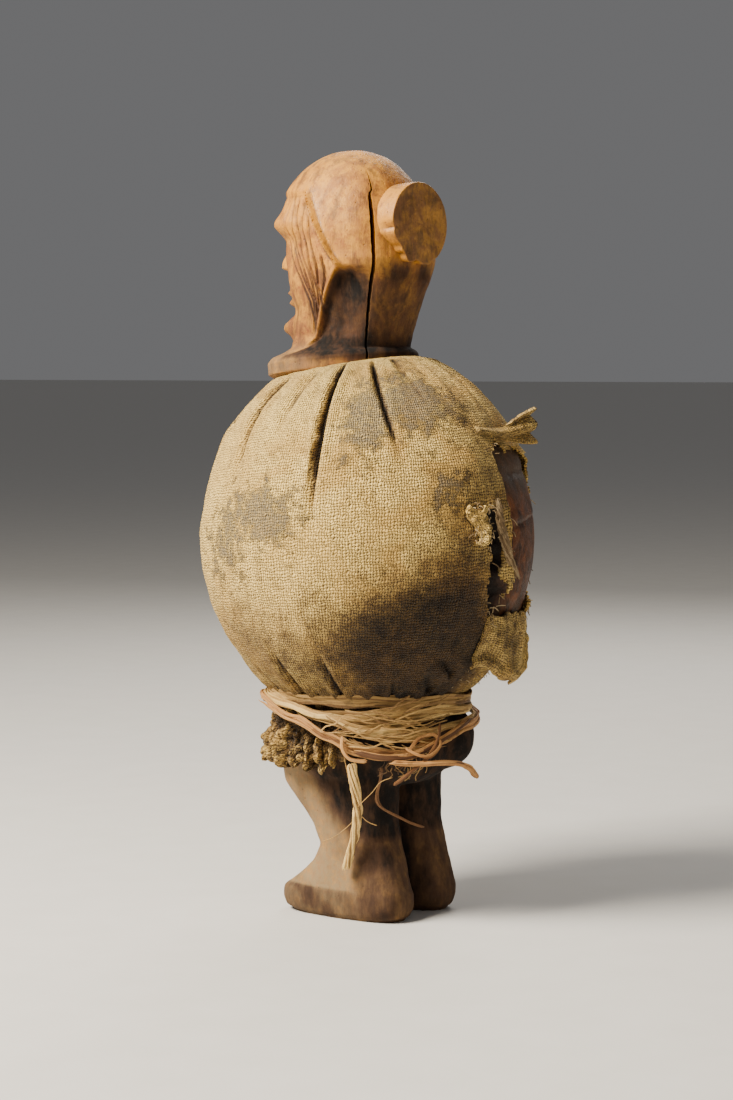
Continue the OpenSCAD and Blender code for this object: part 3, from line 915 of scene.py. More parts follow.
        def place(degrees: float, part: float) -> Vector:
            """Return the surface point: bearing 0 is its underside, part runs towards its end."""
            if part < base:
                out, scale = 6.0, part / base
            elif part < side_end:
                run = (part - base) / (side_end - base)
                out, scale = blend(6.0, self.bun_reach - 0.4, run), 1.0
            elif part < rim:
                round_off = (part - side_end) / (rim - side_end) * math.pi / 2.0
                out = self.bun_reach - 0.4 + 0.4 * math.sin(round_off)
                scale = 1.0 - 0.025 * (1.0 - math.cos(round_off))
            else:
                out, scale = self.bun_reach, 0.975 * (1.0 - part) / (1.0 - rim)
            way = bearing(degrees)
            taper = blend(0.94, 1.0, smooth(12.0, self.bun_reach, out))
            flat = facet / max(0.3, math.cos(math.radians(turn_between(52.0, degrees))))
            flat = min(flat, under / max(0.3, math.cos(math.radians(turn_between(4.0, degrees)))))
            edge = smooth(0.36, side_end, part) * smooth(0.72, 0.54, part)
            ragged = bell(turn_between(30.0, degrees), 42.0) * max(0.0, rough(way * 14.0, 2.6, 5.0))
            notch = bell(turn_between(84.0, degrees), 6.0) + 0.8 * bell(turn_between(8.0, degrees), 7.0)
            chip = edge * (3.4 * ragged + 1.3 * notch)
            reach = scale * min(taper, flat) - chip / self.bun_wide
            end = smooth(side_end, 0.62, part)
            grit = Vector((way.x * scale * 14.0, 0.0, way.y * scale * 14.0))
            bumps = 0.22 * rough(grit, 4.2, 7.0) + 0.16 * rough(grit, 1.2, 2.0)
            return Vector((way.x * self.bun_wide * reach, out + end * bumps - 0.4 * chip,
                           self.bun_height + way.y * self.bun_tall * reach))

        return bent_ball("bun", 130, 72, place)

    def _crack(self) -> bpy.types.Object:
        """Make the blade that opens the drying crack, behind the left side of the head."""
        # Height, width of the crack, and how far it strays sideways.
        path = ((180.0, 1.1, -0.7), (188.0, 1.1, -0.6), (209.0, 1.25, -0.2), (219.0, 1.45, 0.3),
                (230.0, 1.75, 0.1), (240.0, 1.5, -0.1), (242.2, 1.0, -0.2), (243.4, 0.8, 0.7),
                (248.0, 0.6, 0.3), (253.0, 0.25, -0.6))
        out = bearing(self.crack_bearing)
        along = Vector((-out.y, out.x, 0.0))

        def place(degrees: float, part: float) -> Vector:
            """Return the blade's surface point."""
            level = blend(path[0][0], path[-1][0], part)
            width, stray = read_stations(path, level)
            way = bearing(degrees)
            thick = min(1.0, 8.0 * part, 8.0 * (1.0 - part)) * 0.5 * width
            jag = 0.18 * rough(Vector((0.0, 0.0, level)), 1.6, 4.0)
            point = out * (25.0 + 11.0 * way.x) + along * (stray + jag + thick * way.y)
            return Vector((point.x, point.y, level))

        return bent_ball("crack_blade", 10, 90, place)

    def _post(self) -> bpy.types.Object:
        """Make the post inside the bundle, from hips to shoulder plate."""
        only()
        base, top = 66.0, 187.0
        bpy.ops.mesh.primitive_cylinder_add(vertices=48, radius=19.4 * MM, depth=(top - base) * MM,
                                            location=(0.0, -4.5 * MM, (base + top) / 2.0 * MM))
        post = bpy.context.active_object
        settle(post)
        return post

    def _lower_body(self) -> bpy.types.Object:
        """Make the hips, buttocks, legs and feet as one skin."""
        parts = [self._leg(side) for side in (-1.0, 1.0)]
        parts.append(bent_ball("hips", 64, 40, self._hip_point))
        for side in (-1.0, 1.0):
            only()
            bpy.ops.mesh.primitive_uv_sphere_add(
                segments=40, ring_count=24, radius=MM, location=(side * 12 * MM, 15.5 * MM, 60 * MM))
            cheek = bpy.context.active_object
            cheek.scale = (13.0, 17.4, 13.0)
            settle(cheek)
            parts.append(cheek)
        lower = join(parts, "lower_body")
        use_modifier(lower, "REMESH", mode="VOXEL", voxel_size=0.85 * MM)
        use_modifier(lower, "SMOOTH", factor=0.5, iterations=3)
        push_points(lower, self._tool_marks)
        move_points(lower, lambda p: Vector((p.x, p.y, 0.0)) if p.z < 0.55 else p)
        return lower

    def _tool_marks(self, point: Vector, normal: Vector) -> float:
        """Return the shallow hollows that a knife leaves, none of them on the soles."""
        clear = smooth(1.0, 4.0, point.z)
        return clear * (0.38 * rough(point, 8.0, 1.0) + 0.13 * rough(point, 3.0, 6.0))

    def _hip_point(self, degrees: float, part: float) -> Vector:
        """Return a point on the hips' drum."""
        low, high = self.hip_sections[0][0], self.hip_sections[-1][0]
        caps = 0.12
        scale = min(1.0, part / caps, (1.0 - part) / caps)
        level = blend(low, high, min(1.0, max(0.0, (part - caps) / (1.0 - 2.0 * caps))))
        return bearing(degrees) * read_stations(self.hip_sections, level)[0] * scale + Vector(
            (0.0, 0.0, level))

    def _leg(self, side: float) -> bpy.types.Object:
        """Make one leg with its foot, a flat-soled block with a sloping top."""
        top = self.leg_sections[-1][0]
        caps = 0.1

        def place(degrees: float, part: float) -> Vector:
            """Return the surface point at a bearing and a part of the way up."""
            scale = min(1.0, part / caps, (1.0 - part) / caps)
            level = blend(0.0, top, min(1.0, max(0.0, (part - caps) / (1.0 - 2.0 * caps))))
            wide, deep, middle, square = read_stations(self.leg_sections, level)
            reach = squared_radius(degrees, wide, deep, square) * scale
            return bearing(degrees) * reach + Vector((side * self.leg_side, middle, level))

        return bent_ball("leg", 96, 90, place)

    def _patina(self, point: Vector, normal: Vector) -> Colour:
        """Return (worn with painted highlight, grime with painted shade, dust) at a point of the figure.
        """
        if point.z < 80.0:
            return self._leg_patina(point, normal)
        local = Vector((point.x, point.y + self.head_forward, point.z))
        around = turn_between(-self.head_turn, bearing_of(local))
        side = abs(around)
        level = point.z
        reach = math.hypot(local.x, local.y)
        cap = smooth(214.0, 218.0, level) * max(
            smooth(-1.0, 1.0, (side - read_stations(self.cap_edge, level)[0]) * 0.385),
            smooth(242.0, 244.0, level))
        worn = 0.38 * cap + 0.32 * smooth(205.0, 232.0, level) * (1.0 - smooth(84.0, 112.0, side))
        # The hair cap's front ridge is made paler: a painted highlight.
        lip = bell((side - read_stations(self.cap_edge, level)[0]) * 0.385 - 0.8, 2.2)
        lip *= smooth(217.0, 222.0, level) * smooth(250.0, 240.0, level)
        worn += 0.8 * lip
        under = blend(214.8, 207.5, smooth(122.0, 146.0, side))
        neck = smooth(219.3, under, level) * smooth(
            -0.5, 1.5, (side - read_stations(self.jaw_edge, level)[0]) * 0.385)
        neck *= smooth(186.0, 192.0, level)
        neck *= blend(1.0, smooth(225.0, 205.0, level), smooth(140.0, 156.0, side))
        # The neck below the cap and behind the jaw darkens: grime, and painted shade under the cap.
        grime = neck * blend(0.8, 0.5, smooth(138.0, 150.0, side))
        # Painted shadow under the side lobe.
        grime += 0.4 * bell(side - 124.0, 14.0) * bell(level - 214.0, 7.0) * neck
        # Painted shadow of the bun on the neck below it.
        grime += 0.7 * bell(side - 166.0, 17.0) * bell(level - 216.0, 4.6)
        # Painted shade under the cap's lower edge beside the crack.
        grime += 0.3 * bell(side - 133.0, 12.0) * bell(level - 218.8, 3.5)
        grime += 0.3 * (1.0 - smooth(84.0, 112.0, side)) * smooth(222.0, 204.0, level)
        grime += 0.5 * self._striation(side, level)
        # Painted shade in the groove at the foot of the ridge.
        ridge_foot = (side - read_stations(self.cap_edge, level)[0]) * 0.385 + 1.2
        grime += 0.3 * bell(ridge_foot, 0.9) * smooth(221.0, 225.0, level) * smooth(
            244.0, 240.0, level)
        # Darker on the shoulder plate towards the back.
        grime += 0.5 * bell(level - 190.5, 4.0) * smooth(84.0, 104.0, side)
        on_bun = smooth(18.0, 22.0, local.y) * smooth(self.bun_tall + 2.0, self.bun_tall,
                                                      abs(level - self.bun_height))
        facing_back = smooth(0.55, 0.85, normal.y)
        on_end = on_bun * facing_back * smooth(26.0, 27.6, local.y)
        grime = blend(grime, 0.04 + 0.26 * smooth(-0.2, 0.5, rough(point, 6.0, 4.0)), on_end)
        worn = blend(worn, 0.0, on_end)
        worn = max(worn, 0.75 * on_bun * (1.0 - facing_back))
        inside = smooth(3.0, 6.0, squared_radius(around, 21.5, 24.5, 2.5) - reach)
        inside *= smooth(240.0, 236.0, level) * smooth(192.0, 195.0, level)
        # The inside of the crack is painted dark: grime, and painted shade in its depth.
        crack = inside * bell(turn_between(self.crack_bearing, around), 12.0)
        grime = max(grime, crack)
        # The shoulder plate is paler towards the front.
        dust = 0.7 * smooth(196.0, 188.0, level) * (0.2 + 0.8 * smooth(110.0, 70.0, side))
        dust += 0.25 * smooth(0.5, 0.9, normal.z) * smooth(230.0, 250.0, level)
        dust = max(dust, 0.32 * on_end, 0.3 * neck * smooth(140.0, 150.0, side))
        return min(1.0, worn), min(1.0, grime), min(1.0, dust)

    def _leg_patina(self, point: Vector, normal: Vector) -> Colour:
        """Return (worn, grime with painted shade and shadow, dust) below the bundle."""
        forward = smooth(14.0, -14.0, point.y)
        foot = smooth(28.0, 12.0, point.z)
        facing_up = smooth(0.15, 0.6, normal.z) * smooth(9.0, 11.0, point.z)
        front = smooth(13.0, 1.0, point.y)
        worn = 0.1 * forward + 0.55 * foot * facing_up * front
        # Painted shade between the legs.
        between_legs_shade = smooth(7.0, 3.0, abs(point.x)) * smooth(62.0, 50.0, point.z)
        # Painted shadow of the bundle on the backs and upper parts of the legs.
        shade = smooth(-11.0, 12.0, point.y + 0.65 * (point.z - 40.0)) * smooth(20.0, 34.0, point.z)
        # Painted shade on the hips under the tie.
        under_tie_shade = smooth(52.0, 60.0, point.z)
        heel = 0.6 * smooth(4.0, 14.0, point.y)
        band = 0.46 * smooth(10.6, 9.4, point.z)
        patch = 0.25 * smooth(-0.1, 0.5, rough(point, 9.0, 3.0))
        grime = max(0.95 * between_legs_shade, 1.35 * shade, 0.8 * under_tie_shade, heel + patch, band + patch)
        dust = 0.6 + 0.32 * smooth(18.0, 0.0, point.y) + 0.08 * foot
        return min(1.0, worn), min(1.0, grime), min(1.0, dust)


# ------------------------------------------------------------------------------ charge bundle


@dataclass(frozen=True)
class Fold:
    """A fold in the cloth: a sharp valley from one place to another, each (bearing, height)."""

    start: tuple[float, float]
    end: tuple[float, float]
    depth: float
    width: float
    lip: float = 0.8

    def near(self, degrees: float, level: float) -> bool:
        """Tell whether a place is close enough for the fold to matter there."""
        low, high = sorted((self.start[1], self.end[1]))
        middle = self.start[0] + 0.5 * turn_between(self.start[0], self.end[0])
        return low - 8.0 < level < high + 8.0 and abs(turn_between(middle, degrees)) < 24.0

    def _find(self, degrees: float, level: float, reach: float) -> tuple[float, float]:
        """Return how far along the fold a place is, and how far to its side in millimetres."""
        across = math.radians(1.0) * max(20.0, reach)
        run = Vector((turn_between(self.start[0], self.end[0]) * across,
                      self.end[1] - self.start[1]))
        here = Vector((turn_between(self.start[0], degrees) * across, level - self.start[1]))
        part = here.dot(run) / run.length_squared
        return part, (here.x * run.y - here.y * run.x) / run.length

    @staticmethod
    def _fade(part: float) -> float:
        """Return how strong the fold is part of the way along."""
        return smooth(-0.12, 0.02, part) * (1.0 - smooth(0.35, 1.05, part))

    def dirt(self, degrees: float, level: float, reach: float) -> float:
        """Return how dark the fold's valley is painted at a place, from 0 to 1, more for a deeper fold."""
        part, away = self._find(degrees, level, reach)
        return min(1.0, 1.4 * self._fade(part) * bell(away, 0.9 * self.width) * self.depth / 3.2)

    def height(self, degrees: float, level: float, reach: float) -> float:
        """Return how far the fold lifts or sinks the cloth at a place."""
        part, away = self._find(degrees, level, reach)
        fade = self._fade(part)
        valley = -self.depth * bell(away, self.width)
        lips = self.lip * bell(away - 2.4 * self.width, 1.6 * self.width)
        lips += 0.5 * self.lip * bell(away + 2.6 * self.width, 1.8 * self.width)
        return fade * (valley + lips)


@dataclass
class ChargeBundle:
    """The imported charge: packing, hide, cloth with its torn back, and the cord at its neck."""

    reach: float = 57.0
    half_height: float = 64.0
    middle: float = 128.0
    mouth_reach: float = 23.7
    mouth_forward: float = 6.3
    mouth_height: float = 184.6
    mouth_lean: float = 10.0
    sleeve_reach: float = 31.5
    sleeve_foot: float = 70.5
    sleeve_top: float = 75.6
    cloth_thick: float = 0.8
    cloth: WovenCloth = field(default_factory=WovenCloth)
    hide: DriedHide = field(default_factory=DriedHide)
    earth: PackedEarth = field(default_factory=PackedEarth)
    thread: Raffia = Raffia("frayed_thread", srgb(206, 184, 142), srgb(150, 124, 86),
                            srgb(84, 62, 40), 0.85)

    # The places where the cloth is torn away at the back, as (bearing, height) corners.
    opening = ((177.5, 157.0), (181.0, 161.0), (204.0, 158.0), (216.0, 156.0), (229.0, 146.0),
               (234.0, 122.0), (226.0, 108.0), (214.0, 105.0), (204.0, 106.5), (198.0, 99.0),
               (190.0, 97.0), (181.0, 101.0), (172.5, 103.0), (171.5, 110.0), (179.0, 111.5),
               (181.0, 120.0), (180.0, 130.0), (178.5, 141.0), (177.5, 148.0))
    slit = ((169.0, 138.0), (172.5, 141.0), (174.0, 136.0), (174.5, 130.0), (176.0, 122.0),
            (178.0, 114.0), (176.0, 108.0), (171.0, 106.0), (170.5, 113.0), (169.0, 121.0),
            (167.5, 129.0))
    folds = (
        Fold((105.5, 183.0), (106.3, 132.0), 4.2, 0.95, 1.5),
        Fold((128.6, 184.0), (138.4, 152.0), 3.0, 0.85, 0.9),
        Fold((66.0, 179.0), (70.5, 144.0), 2.4, 1.2, 0.8),
        Fold((88.0, 182.0), (86.0, 160.0), 1.2, 1.3, 0.6),
        Fold((148.0, 187.0), (154.0, 168.0), 1.3, 1.1, 0.5),
        Fold((44.0, 180.0), (46.0, 148.0), 2.2, 1.2, 0.8),
        Fold((18.0, 179.0), (12.0, 154.0), 2.0, 1.2, 0.8),
        Fold((-14.0, 179.0), (-16.0, 142.0), 3.0, 0.9, 0.9),
        Fold((-44.0, 180.0), (-52.0, 156.0), 1.7, 1.2, 0.7),
        Fold((-78.0, 182.0), (-76.0, 138.0), 3.2, 0.8, 1.0),
        Fold((-108.0, 184.0), (-114.0, 158.0), 1.8, 1.1, 0.7),
        Fold((-138.0, 186.0), (-136.0, 152.0), 2.4, 1.0, 0.8),
        Fold((-165.0, 187.0), (-170.0, 172.0), 1.4, 1.1, 0.5),
        Fold((88.0, 72.0), (81.0, 98.0), 3.2, 1.2, 0.9),
        Fold((111.5, 72.0), (104.0, 95.0), 3.6, 1.0, 1.0),
        Fold((139.7, 72.0), (136.0, 87.0), 2.6, 0.9, 0.7),
        Fold((98.0, 72.0), (93.0, 84.0), 1.8, 1.0, 0.6),
        Fold((66.0, 72.0), (62.0, 92.0), 2.2, 1.2, 0.8),
        Fold((44.0, 72.0), (42.0, 90.0), 2.4, 1.1, 0.8),
        Fold((18.0, 72.0), (16.0, 96.0), 2.8, 1.1, 0.9),
        Fold((-10.0, 72.0), (-14.0, 88.0), 2.0, 1.1, 0.7),
        Fold((-36.0, 72.0), (-34.0, 94.0), 2.6, 1.1, 0.8),
        Fold((-64.0, 72.0), (-68.0, 90.0), 2.2, 1.0, 0.8),
        Fold((-92.0, 72.0), (-90.0, 95.0), 2.8, 1.1, 0.9),
        Fold((-120.0, 72.0), (-124.0, 88.0), 2.0, 1.0, 0.7),
        Fold((-150.0, 72.0), (-146.0, 92.0), 2.4, 1.1, 0.8),
        Fold((160.0, 79.0), (149.0, 87.0), 3.6, 1.8, 2.0),
        Fold((166.0, 84.0), (154.0, 92.0), 2.6, 1.4, 1.5),
    )

    def build(self) -> None:
        """Make every layer from the inside out."""
        self._packing()
        self._hide_wrap()
        self._neck_cord()
        sheet = self._cloth_wrap()
        trims = [self._tuft(), self._frayed_flap(), self._hanging_rag(), self._frill()]
        trims += [self._slit_strip(), self._frays()]

    def oval(self, level: float, inset: float = 0.0) -> float:
        """Return the bundle's reach at a height, drawn inwards by an inset."""
        up = (level - self.middle) / (self.half_height - inset)
        return (self.reach - inset) * math.sqrt(max(0.0, 1.0 - up * up))

    def mouth(self, degrees: float) -> tuple[float, float]:
        """Return the reach and the height of the bundle's mouth at a bearing."""
        way = bearing(degrees)
        along = -self.mouth_forward * way.y
        cross = self.mouth_forward * way.x
        reach = along + math.sqrt(self.mouth_reach**2 - cross**2)
        rise = (reach * way.y + self.mouth_forward) * math.tan(math.radians(self.mouth_lean))
        return reach, self.mouth_height + rise

    def creases(self, degrees: float, level: float, reach: float) -> float:
        """Return how far all the folds together lift or sink the cloth at a place."""
        return sum(fold.height(degrees, level, reach) for fold in self.folds
                   if fold.near(degrees, level))

    def _under_creases(self, point: Vector) -> float:
        """Return how far the layers below the cloth sink under its folds."""
        sunk = self.creases(bearing_of(point), point.z, math.hypot(point.x, point.y))
        return 1.2 * min(0.0, sunk) - 0.9 * smooth(-0.2, -0.9, sunk)

    def lumps(self, point: Vector) -> float:
        """Return the packing's gentle unevenness, shared by every layer over it."""
        return 1.1 * rough(point, 26.0, 2.0) + 0.45 * rough(point, 9.0, 5.0)

    def _hole_depth(self, degrees: float, level: float) -> float:
        """Return how deep the gash under the slit goes at a place."""
        ragged = 3.0 * rough(Vector((0.0, 0.0, level)), 6.0, 5.0)
        across = turn_between(174.2 + ragged, degrees) / 6.6
        up = (level - 121.0) / 17.5
        return 10.0 * math.exp(-(across**2) - up**4)

    def _packing(self) -> None:
        """Make the packing, gashed under the slit."""

        def place(degrees: float, part: float) -> Vector:
            """Return the packing's surface point."""
            angle = blend(-math.pi / 2.0, math.pi / 2.0, part)
            level = 127.5 + 46.0 * math.sin(angle)
            edge = self.oval(level, 4.0) * min(1.0, 5.0 * part, 5.0 * (1.0 - part))
            return bearing(degrees) * edge + Vector((0.0, 0.0, level))

        packing = bent_ball("packed_charge", 180, 90, place)
        push_points(packing, lambda p, n: self.lumps(p) - 1.0 + 0.5 * rough(p, 2.5, 1.0)
                    - 1.5 * self._hole_depth(bearing_of(p), p.z) + 1.1 * self._under_creases(p))
        finish_piece(packing, self.earth.material(), ["charge_packing"])

    def _hide_wrap(self) -> None:
        """Make the hide, creased across its middle and gashed under the slit."""

        def place(degrees: float, part: float) -> Vector:
            """Return the hide's surface point."""
            level = blend(79.0, 175.0, part)
            point = bearing(degrees) * self.oval(level, 1.7) + Vector((0.0, 0.0, level))
            push = self.lumps(point) - self._hole_depth(degrees, level)
            push += self._under_creases(point)
            crease = bell(level - 134.0 - 0.08 * turn_between(200.0, degrees), 0.9)
            push -= 0.8 * crease * bell(turn_between(196.0, degrees), 18.0)
            push += 0.5 * bell(level - 136.2, 1.4) * bell(turn_between(196.0, degrees), 16.0)
            push -= 0.9 * bell(level - 150.0, 1.6) * bell(turn_between(200.0, degrees), 20.0)
            return point + bearing(degrees) * push

        hide = bent_sheet("hide_skin", 240, 110, lambda u, v: place(u * 360.0, v))
        weld(hide)
        use_modifier(hide, "SOLIDIFY", thickness=1.4 * MM, offset=-1.0)
        paint(hide, self._hide_tint)
        finish_piece(hide, self.hide.material(), ["hide_wrap"])

    def _hide_tint(self, point: Vector, normal: Vector) -> Colour:
        """Return (dust, dark, 0) at a point of the hide."""
        here = bearing_of(point)
        dust = 0.75 * smooth(138.0, 150.0, point.z) + 0.3 * smooth(112.0, 104.0, point.z)
        dark = 0.5 * smooth(0.1, 0.6, rough(point, 7.0, 8.0)) * smooth(130.0, 150.0, point.z)
        # The hide is painted dark deep in the gash under the slit: painted shade.
        dark += smooth(0.8, 3.5, self._hole_depth(here, point.z))
        return min(1.0, dust), min(1.0, dark), 0.0

    def _cloth_place(self, degrees: float, part: float) -> Vector:
        """Return the plain cloth's point at a bearing: part runs from its sleeve to its lip."""
        mouth_reach, mouth_level = self.mouth(degrees)
        sleeve, neck = 0.05, 0.93
        top = mouth_level - 1.4
        if part < sleeve:
            level = blend(self.sleeve_foot, self.sleeve_top, part / sleeve)
            reach = self.sleeve_reach
        elif part < neck:
            low = math.asin((self.sleeve_top - self.middle) / self.half_height)
            high = math.asin((top - self.middle) / self.half_height)
            angle = blend(low, high, (part - sleeve) / (neck - sleeve))
            level = self.middle + self.half_height * math.sin(angle)
            least = self.sleeve_reach if level < self.middle else mouth_reach + 0.5
            reach = max(self.oval(level), least)
        else:
            turn = (part - neck) / (1.0 - neck)
            over = min(1.0, turn / 0.45)
            reach = blend(max(self.oval(top), mouth_reach + 0.5), mouth_reach - 0.6,
                          smooth(0.0, 1.0, over))
            level = top + 1.4 * math.sin(over * math.pi / 2.0)
            if turn > 0.45:
                level -= 4.2 * (turn - 0.45) / 0.55
        return bearing(degrees) * reach + Vector((0.0, 0.0, level))

    def _cloth_relief(self, point: Vector) -> float:
        """Return how far the cloth's folds and lumps stand out at a point."""
        here = bearing_of(point)
        level = point.z
        reach = math.hypot(point.x, point.y)
        raised = self.lumps(point) * smooth(76.0, 90.0, level) * smooth(186.0, 172.0, level)
        raised += self.creases(here, level, reach)
        wander = 26.0 * rough(point, 20.0, 12.0)
        gather = math.sin(math.radians(24.0 * here + wander)) + 0.5 * math.sin(
            math.radians(41.0 * here - 2.0 * wander))
        neck = smooth(158.0, 182.0, level) ** 2
        waist = smooth(98.0, 77.0, level) ** 2
        raised += gather * (0.55 * neck + 0.7 * waist)
        raised += 0.16 * rough(point, 2.4, 15.0) + 0.1 * rough(point, 1.3, 4.0)
        edge = min(self._edge(self.opening, here, level), self._edge(self.slit, here, level))
        raised += bell(edge, 2.2) * (0.5 + 1.1 * rough(point, 3.6, 21.0))
        raised += 1.6 * bell(turn_between(182.0, here), 5.0) * smooth(126.0, 113.0, level) * smooth(
            104.0, 112.0, level)
        return raised

    @staticmethod
    def _flat(degrees: float, level: float) -> Vector:
        """Return a place near the tear as a flat point in millimetres."""
        return Vector((turn_between(180.0, degrees) * 0.98, level))

    def _edge(self, corners: Sequence[tuple[float, float]], degrees: float, level: float) -> float:
        """Return the distance from a place to an outline of (bearing, height) corners."""
        here = self._flat(degrees, level)
        nearest = 30.0
        if not (-20.0 < here.x < 62.0 and 88.0 < level < 170.0):
            return nearest
        for first, second in zip(corners, corners[1:] + corners[:1]):
            start = self._flat(*first)
            run = self._flat(*second) - start
            part = min(1.0, max(0.0, (here - start).dot(run) / run.length_squared))
            nearest = min(nearest, (here - start - run * part).length)
        return nearest

    def _torn(self, point: Vector) -> bool:
        """Tell whether the cloth is missing at a point, with a ragged edge."""
        here = bearing_of(point) + 1.2 * rough(point, 2.2, 31.0) + 2.4 * rough(point, 8.0, 3.0)
        level = point.z + 1.2 * rough(point, 2.6, 37.0) + 2.4 * rough(point, 9.0, 7.0)
        return self._within(self.opening, here, level) or self._within(self.slit, here, level)

    def _within(self, corners: Sequence[tuple[float, float]], degrees: float, level: float) -> bool:
        """Tell whether a place lies inside an outline of (bearing, height) corners."""
        here = self._flat(degrees, level)
        inside = False
        if not (-20.0 < here.x < 62.0 and 88.0 < level < 170.0):
            return inside
        for first, second in zip(corners, corners[1:] + corners[:1]):
            start, end = self._flat(*first), self._flat(*second)
            if (start.y > here.y) != (end.y > here.y):
                cross = start.x + (here.y - start.y) / (end.y - start.y) * (end.x - start.x)
                if here.x < cross:
                    inside = not inside
        return inside

    def _neck_cord(self) -> None:
        """Make the twisted cord that draws the cloth in, under its turned neck edge."""
        radius, drop, lay, turns, steps = 25.4, 3.4, 0.5, 26, 312
        strands = []
        for index in range(3):
            points = []
            for step in range(steps + 1):
                way = bearing(360.0 * step / steps)
                twist = 2.0 * math.pi * (turns * step / steps + index / 3.0)
                spot = way * (radius + lay * math.cos(twist))
                spot.y -= self.mouth_forward
                lean = (spot.y + self.mouth_forward) * math.tan(math.radians(self.mouth_lean))
                spot.z = self.mouth_height - drop + lean + lay * math.sin(twist)
                points.append(spot)
            strands.append(Strand(points, 1.1, 1.1, 0.3 + 0.2 * index))
        cord = strand_bundle("neck_drawstring", strands, 8, steps)
        finish_piece(cord, NECK_CORD.material(), ["neck_cord"])

    @staticmethod
    def _gathered(across: float) -> float:
        """Return how far round a column of the cloth's mesh is; they are closest by the tear."""
        return across - 0.45 * math.sin(2.0 * math.pi * across) / (2.0 * math.pi)

    def _cloth_wrap(self) -> bpy.types.Object:
        """Make the cloth, its folds, its torn back and its turned neck edge."""

        def place(across: float, up: float) -> Vector:
            """Return the cloth's point; its seam is inside the tear."""
            degrees = 205.0 + self._gathered(across) * 360.0
            plain = self._cloth_place(degrees, up)
            settled = smooth(0.0, 0.04, up) * smooth(1.0, 0.95, up)
            return plain + bearing(degrees) * self._cloth_relief(plain) * settled

        sheet = bent_sheet("cloth_sheet", 340, 126, place)
        for corner in sheet.data.uv_layers.active.data:
            corner.uv.x = self._gathered(corner.uv.x)
        weld(sheet)
        cut_faces(sheet, self._torn)
        use_modifier(sheet, "SOLIDIFY", thickness=self.cloth_thick * MM, offset=-1.0)
        paint(sheet, self._cloth_tint)
        finish_piece(sheet, self.cloth.material(), ["cloth_wrap"], 60.0)
        return sheet

    def _cloth_tint(self, point: Vector, normal: Vector) -> Colour:
        """Return (grey patches, dark stain with painted shade, pale) at a point of the cloth."""
        here = bearing_of(point)
        level = point.z

        def patch(middle: float, height: float, wide: float, tall: float) -> float:
            """Return a soft oval patch, its size in millimetres."""
            across = turn_between(middle, here) * 0.9
            return math.exp(-((across / wide) ** 2) - ((level - height) / tall) ** 2)

        grey = 1.1 * patch(147.0, 174.0, 20.0, 11.0) + 0.9 * patch(123.0, 167.0, 9.0, 13.0)
        grey += 1.0 * patch(88.0, 138.0, 15.0, 11.0) + 0.8 * patch(154.0, 146.0, 8.0, 9.0)
        grey += 0.6 * patch(66.0, 124.0, 12.0, 18.0) + 0.8 * patch(-60.0, 150.0, 26.0, 16.0)
        grey += 0.7 * patch(10.0, 160.0, 24.0, 12.0)
        stain_and_shade = 1.05 * patch(142.0, 91.0, 30.0, 20.0) + 0.6 * patch(164.0, 86.0, 18.0, 16.0)
        stain_and_shade += 0.22 * patch(74.0, 98.0, 26.0, 14.0)
        stain_and_shade += 0.42 * patch(160.0, 120.0, 17.0, 34.0) + 0.5 * patch(-30.0, 96.0, 30.0, 14.0)
        stain_and_shade += 0.22 * patch(86.0, 84.0, 24.0, 15.0) + 0.4 * patch(176.0, 150.0, 16.0, 20.0)
        stain_and_shade += 0.2 * patch(66.0, 98.0, 14.0, 18.0) + 0.3 * patch(178.0, 172.0, 22.0, 10.0)
        # Painted shade towards the bottom of the bundle: the smooth() terms on level here and on the next
        # line.
        stain_and_shade += 0.3 * patch(140.0, 112.0, 34.0, 15.0) + 0.12 * smooth(114.0, 90.0, level)
        stain_and_shade += 0.36 * smooth(84.0, 73.0, level)
        reach = math.hypot(point.x, point.y)
        crease = 0.0
        for fold in self.folds:
            if fold.near(here, level):
                crease = max(crease, fold.dirt(here, level, reach))
        stain_and_shade = max(stain_and_shade, crease)
        pale = patch(96.0, 112.0, 20.0, 18.0) + 0.9 * patch(56.0, 140.0, 26.0, 30.0)
        pale += 0.9 * patch(98.0, 172.0, 22.0, 12.0) + 0.5 * patch(-100.0, 130.0, 30.0, 26.0)
        pale += 0.7 * patch(116.0, 134.0, 14.0, 14.0)
        # The cloth's inner face, sunk well inside the bundle's outline away from the folds, is painted
        # fully dark.
        if reach < self.oval(level) - 2.4 and 80.0 < level < 170.0 and crease < 0.05:
            stain_and_shade = 1.0
        return min(1.0, grey), min(1.0, stain_and_shade), min(1.0, pale)

    def _rag_piece(self, name: str, across: int, up: int, place: Callable[[float, float], Vector],
                   threads: tuple[float, float], thick: float, soil: float) -> bpy.types.Object:
        """Make one loose scrap of the cloth.

        Args:
            name: the piece's name.
            across: faces from side to side.
            up: faces from foot to head.
            place: the scrap's shape, from (across, up) to millimetres.
            threads: threads across and up its UV map.
            thick: the cloth's thickness.
            soil: how dirty it is, from 0 to 1.

        Returns:
            The dressed scrap.
        """
        rag = bent_sheet(name, across, up, place)
        use_modifier(rag, "SOLIDIFY", thickness=thick * MM, offset=0.0)
        paint(rag, lambda point, normal: self._rag_tint(point, soil))
        finish_piece(rag, self.cloth.material(name + "_cloth", *threads), (), 60.0)
        return rag

    @staticmethod
    def _rag_tint(point: Vector, soil: float) -> Colour:
        """Return (grey patches, dark stain, pale) on the loose scraps."""
        soiled = soil * (0.85 + 0.3 * smooth(-0.4, 0.5, rough(point, 4.0, 2.0)))
        return 0.0, soiled, 0.5 * (1.0 - soil)

    def _tuft(self) -> bpy.types.Object:
        """Make the rolled edge that ends in a fan above the tear."""

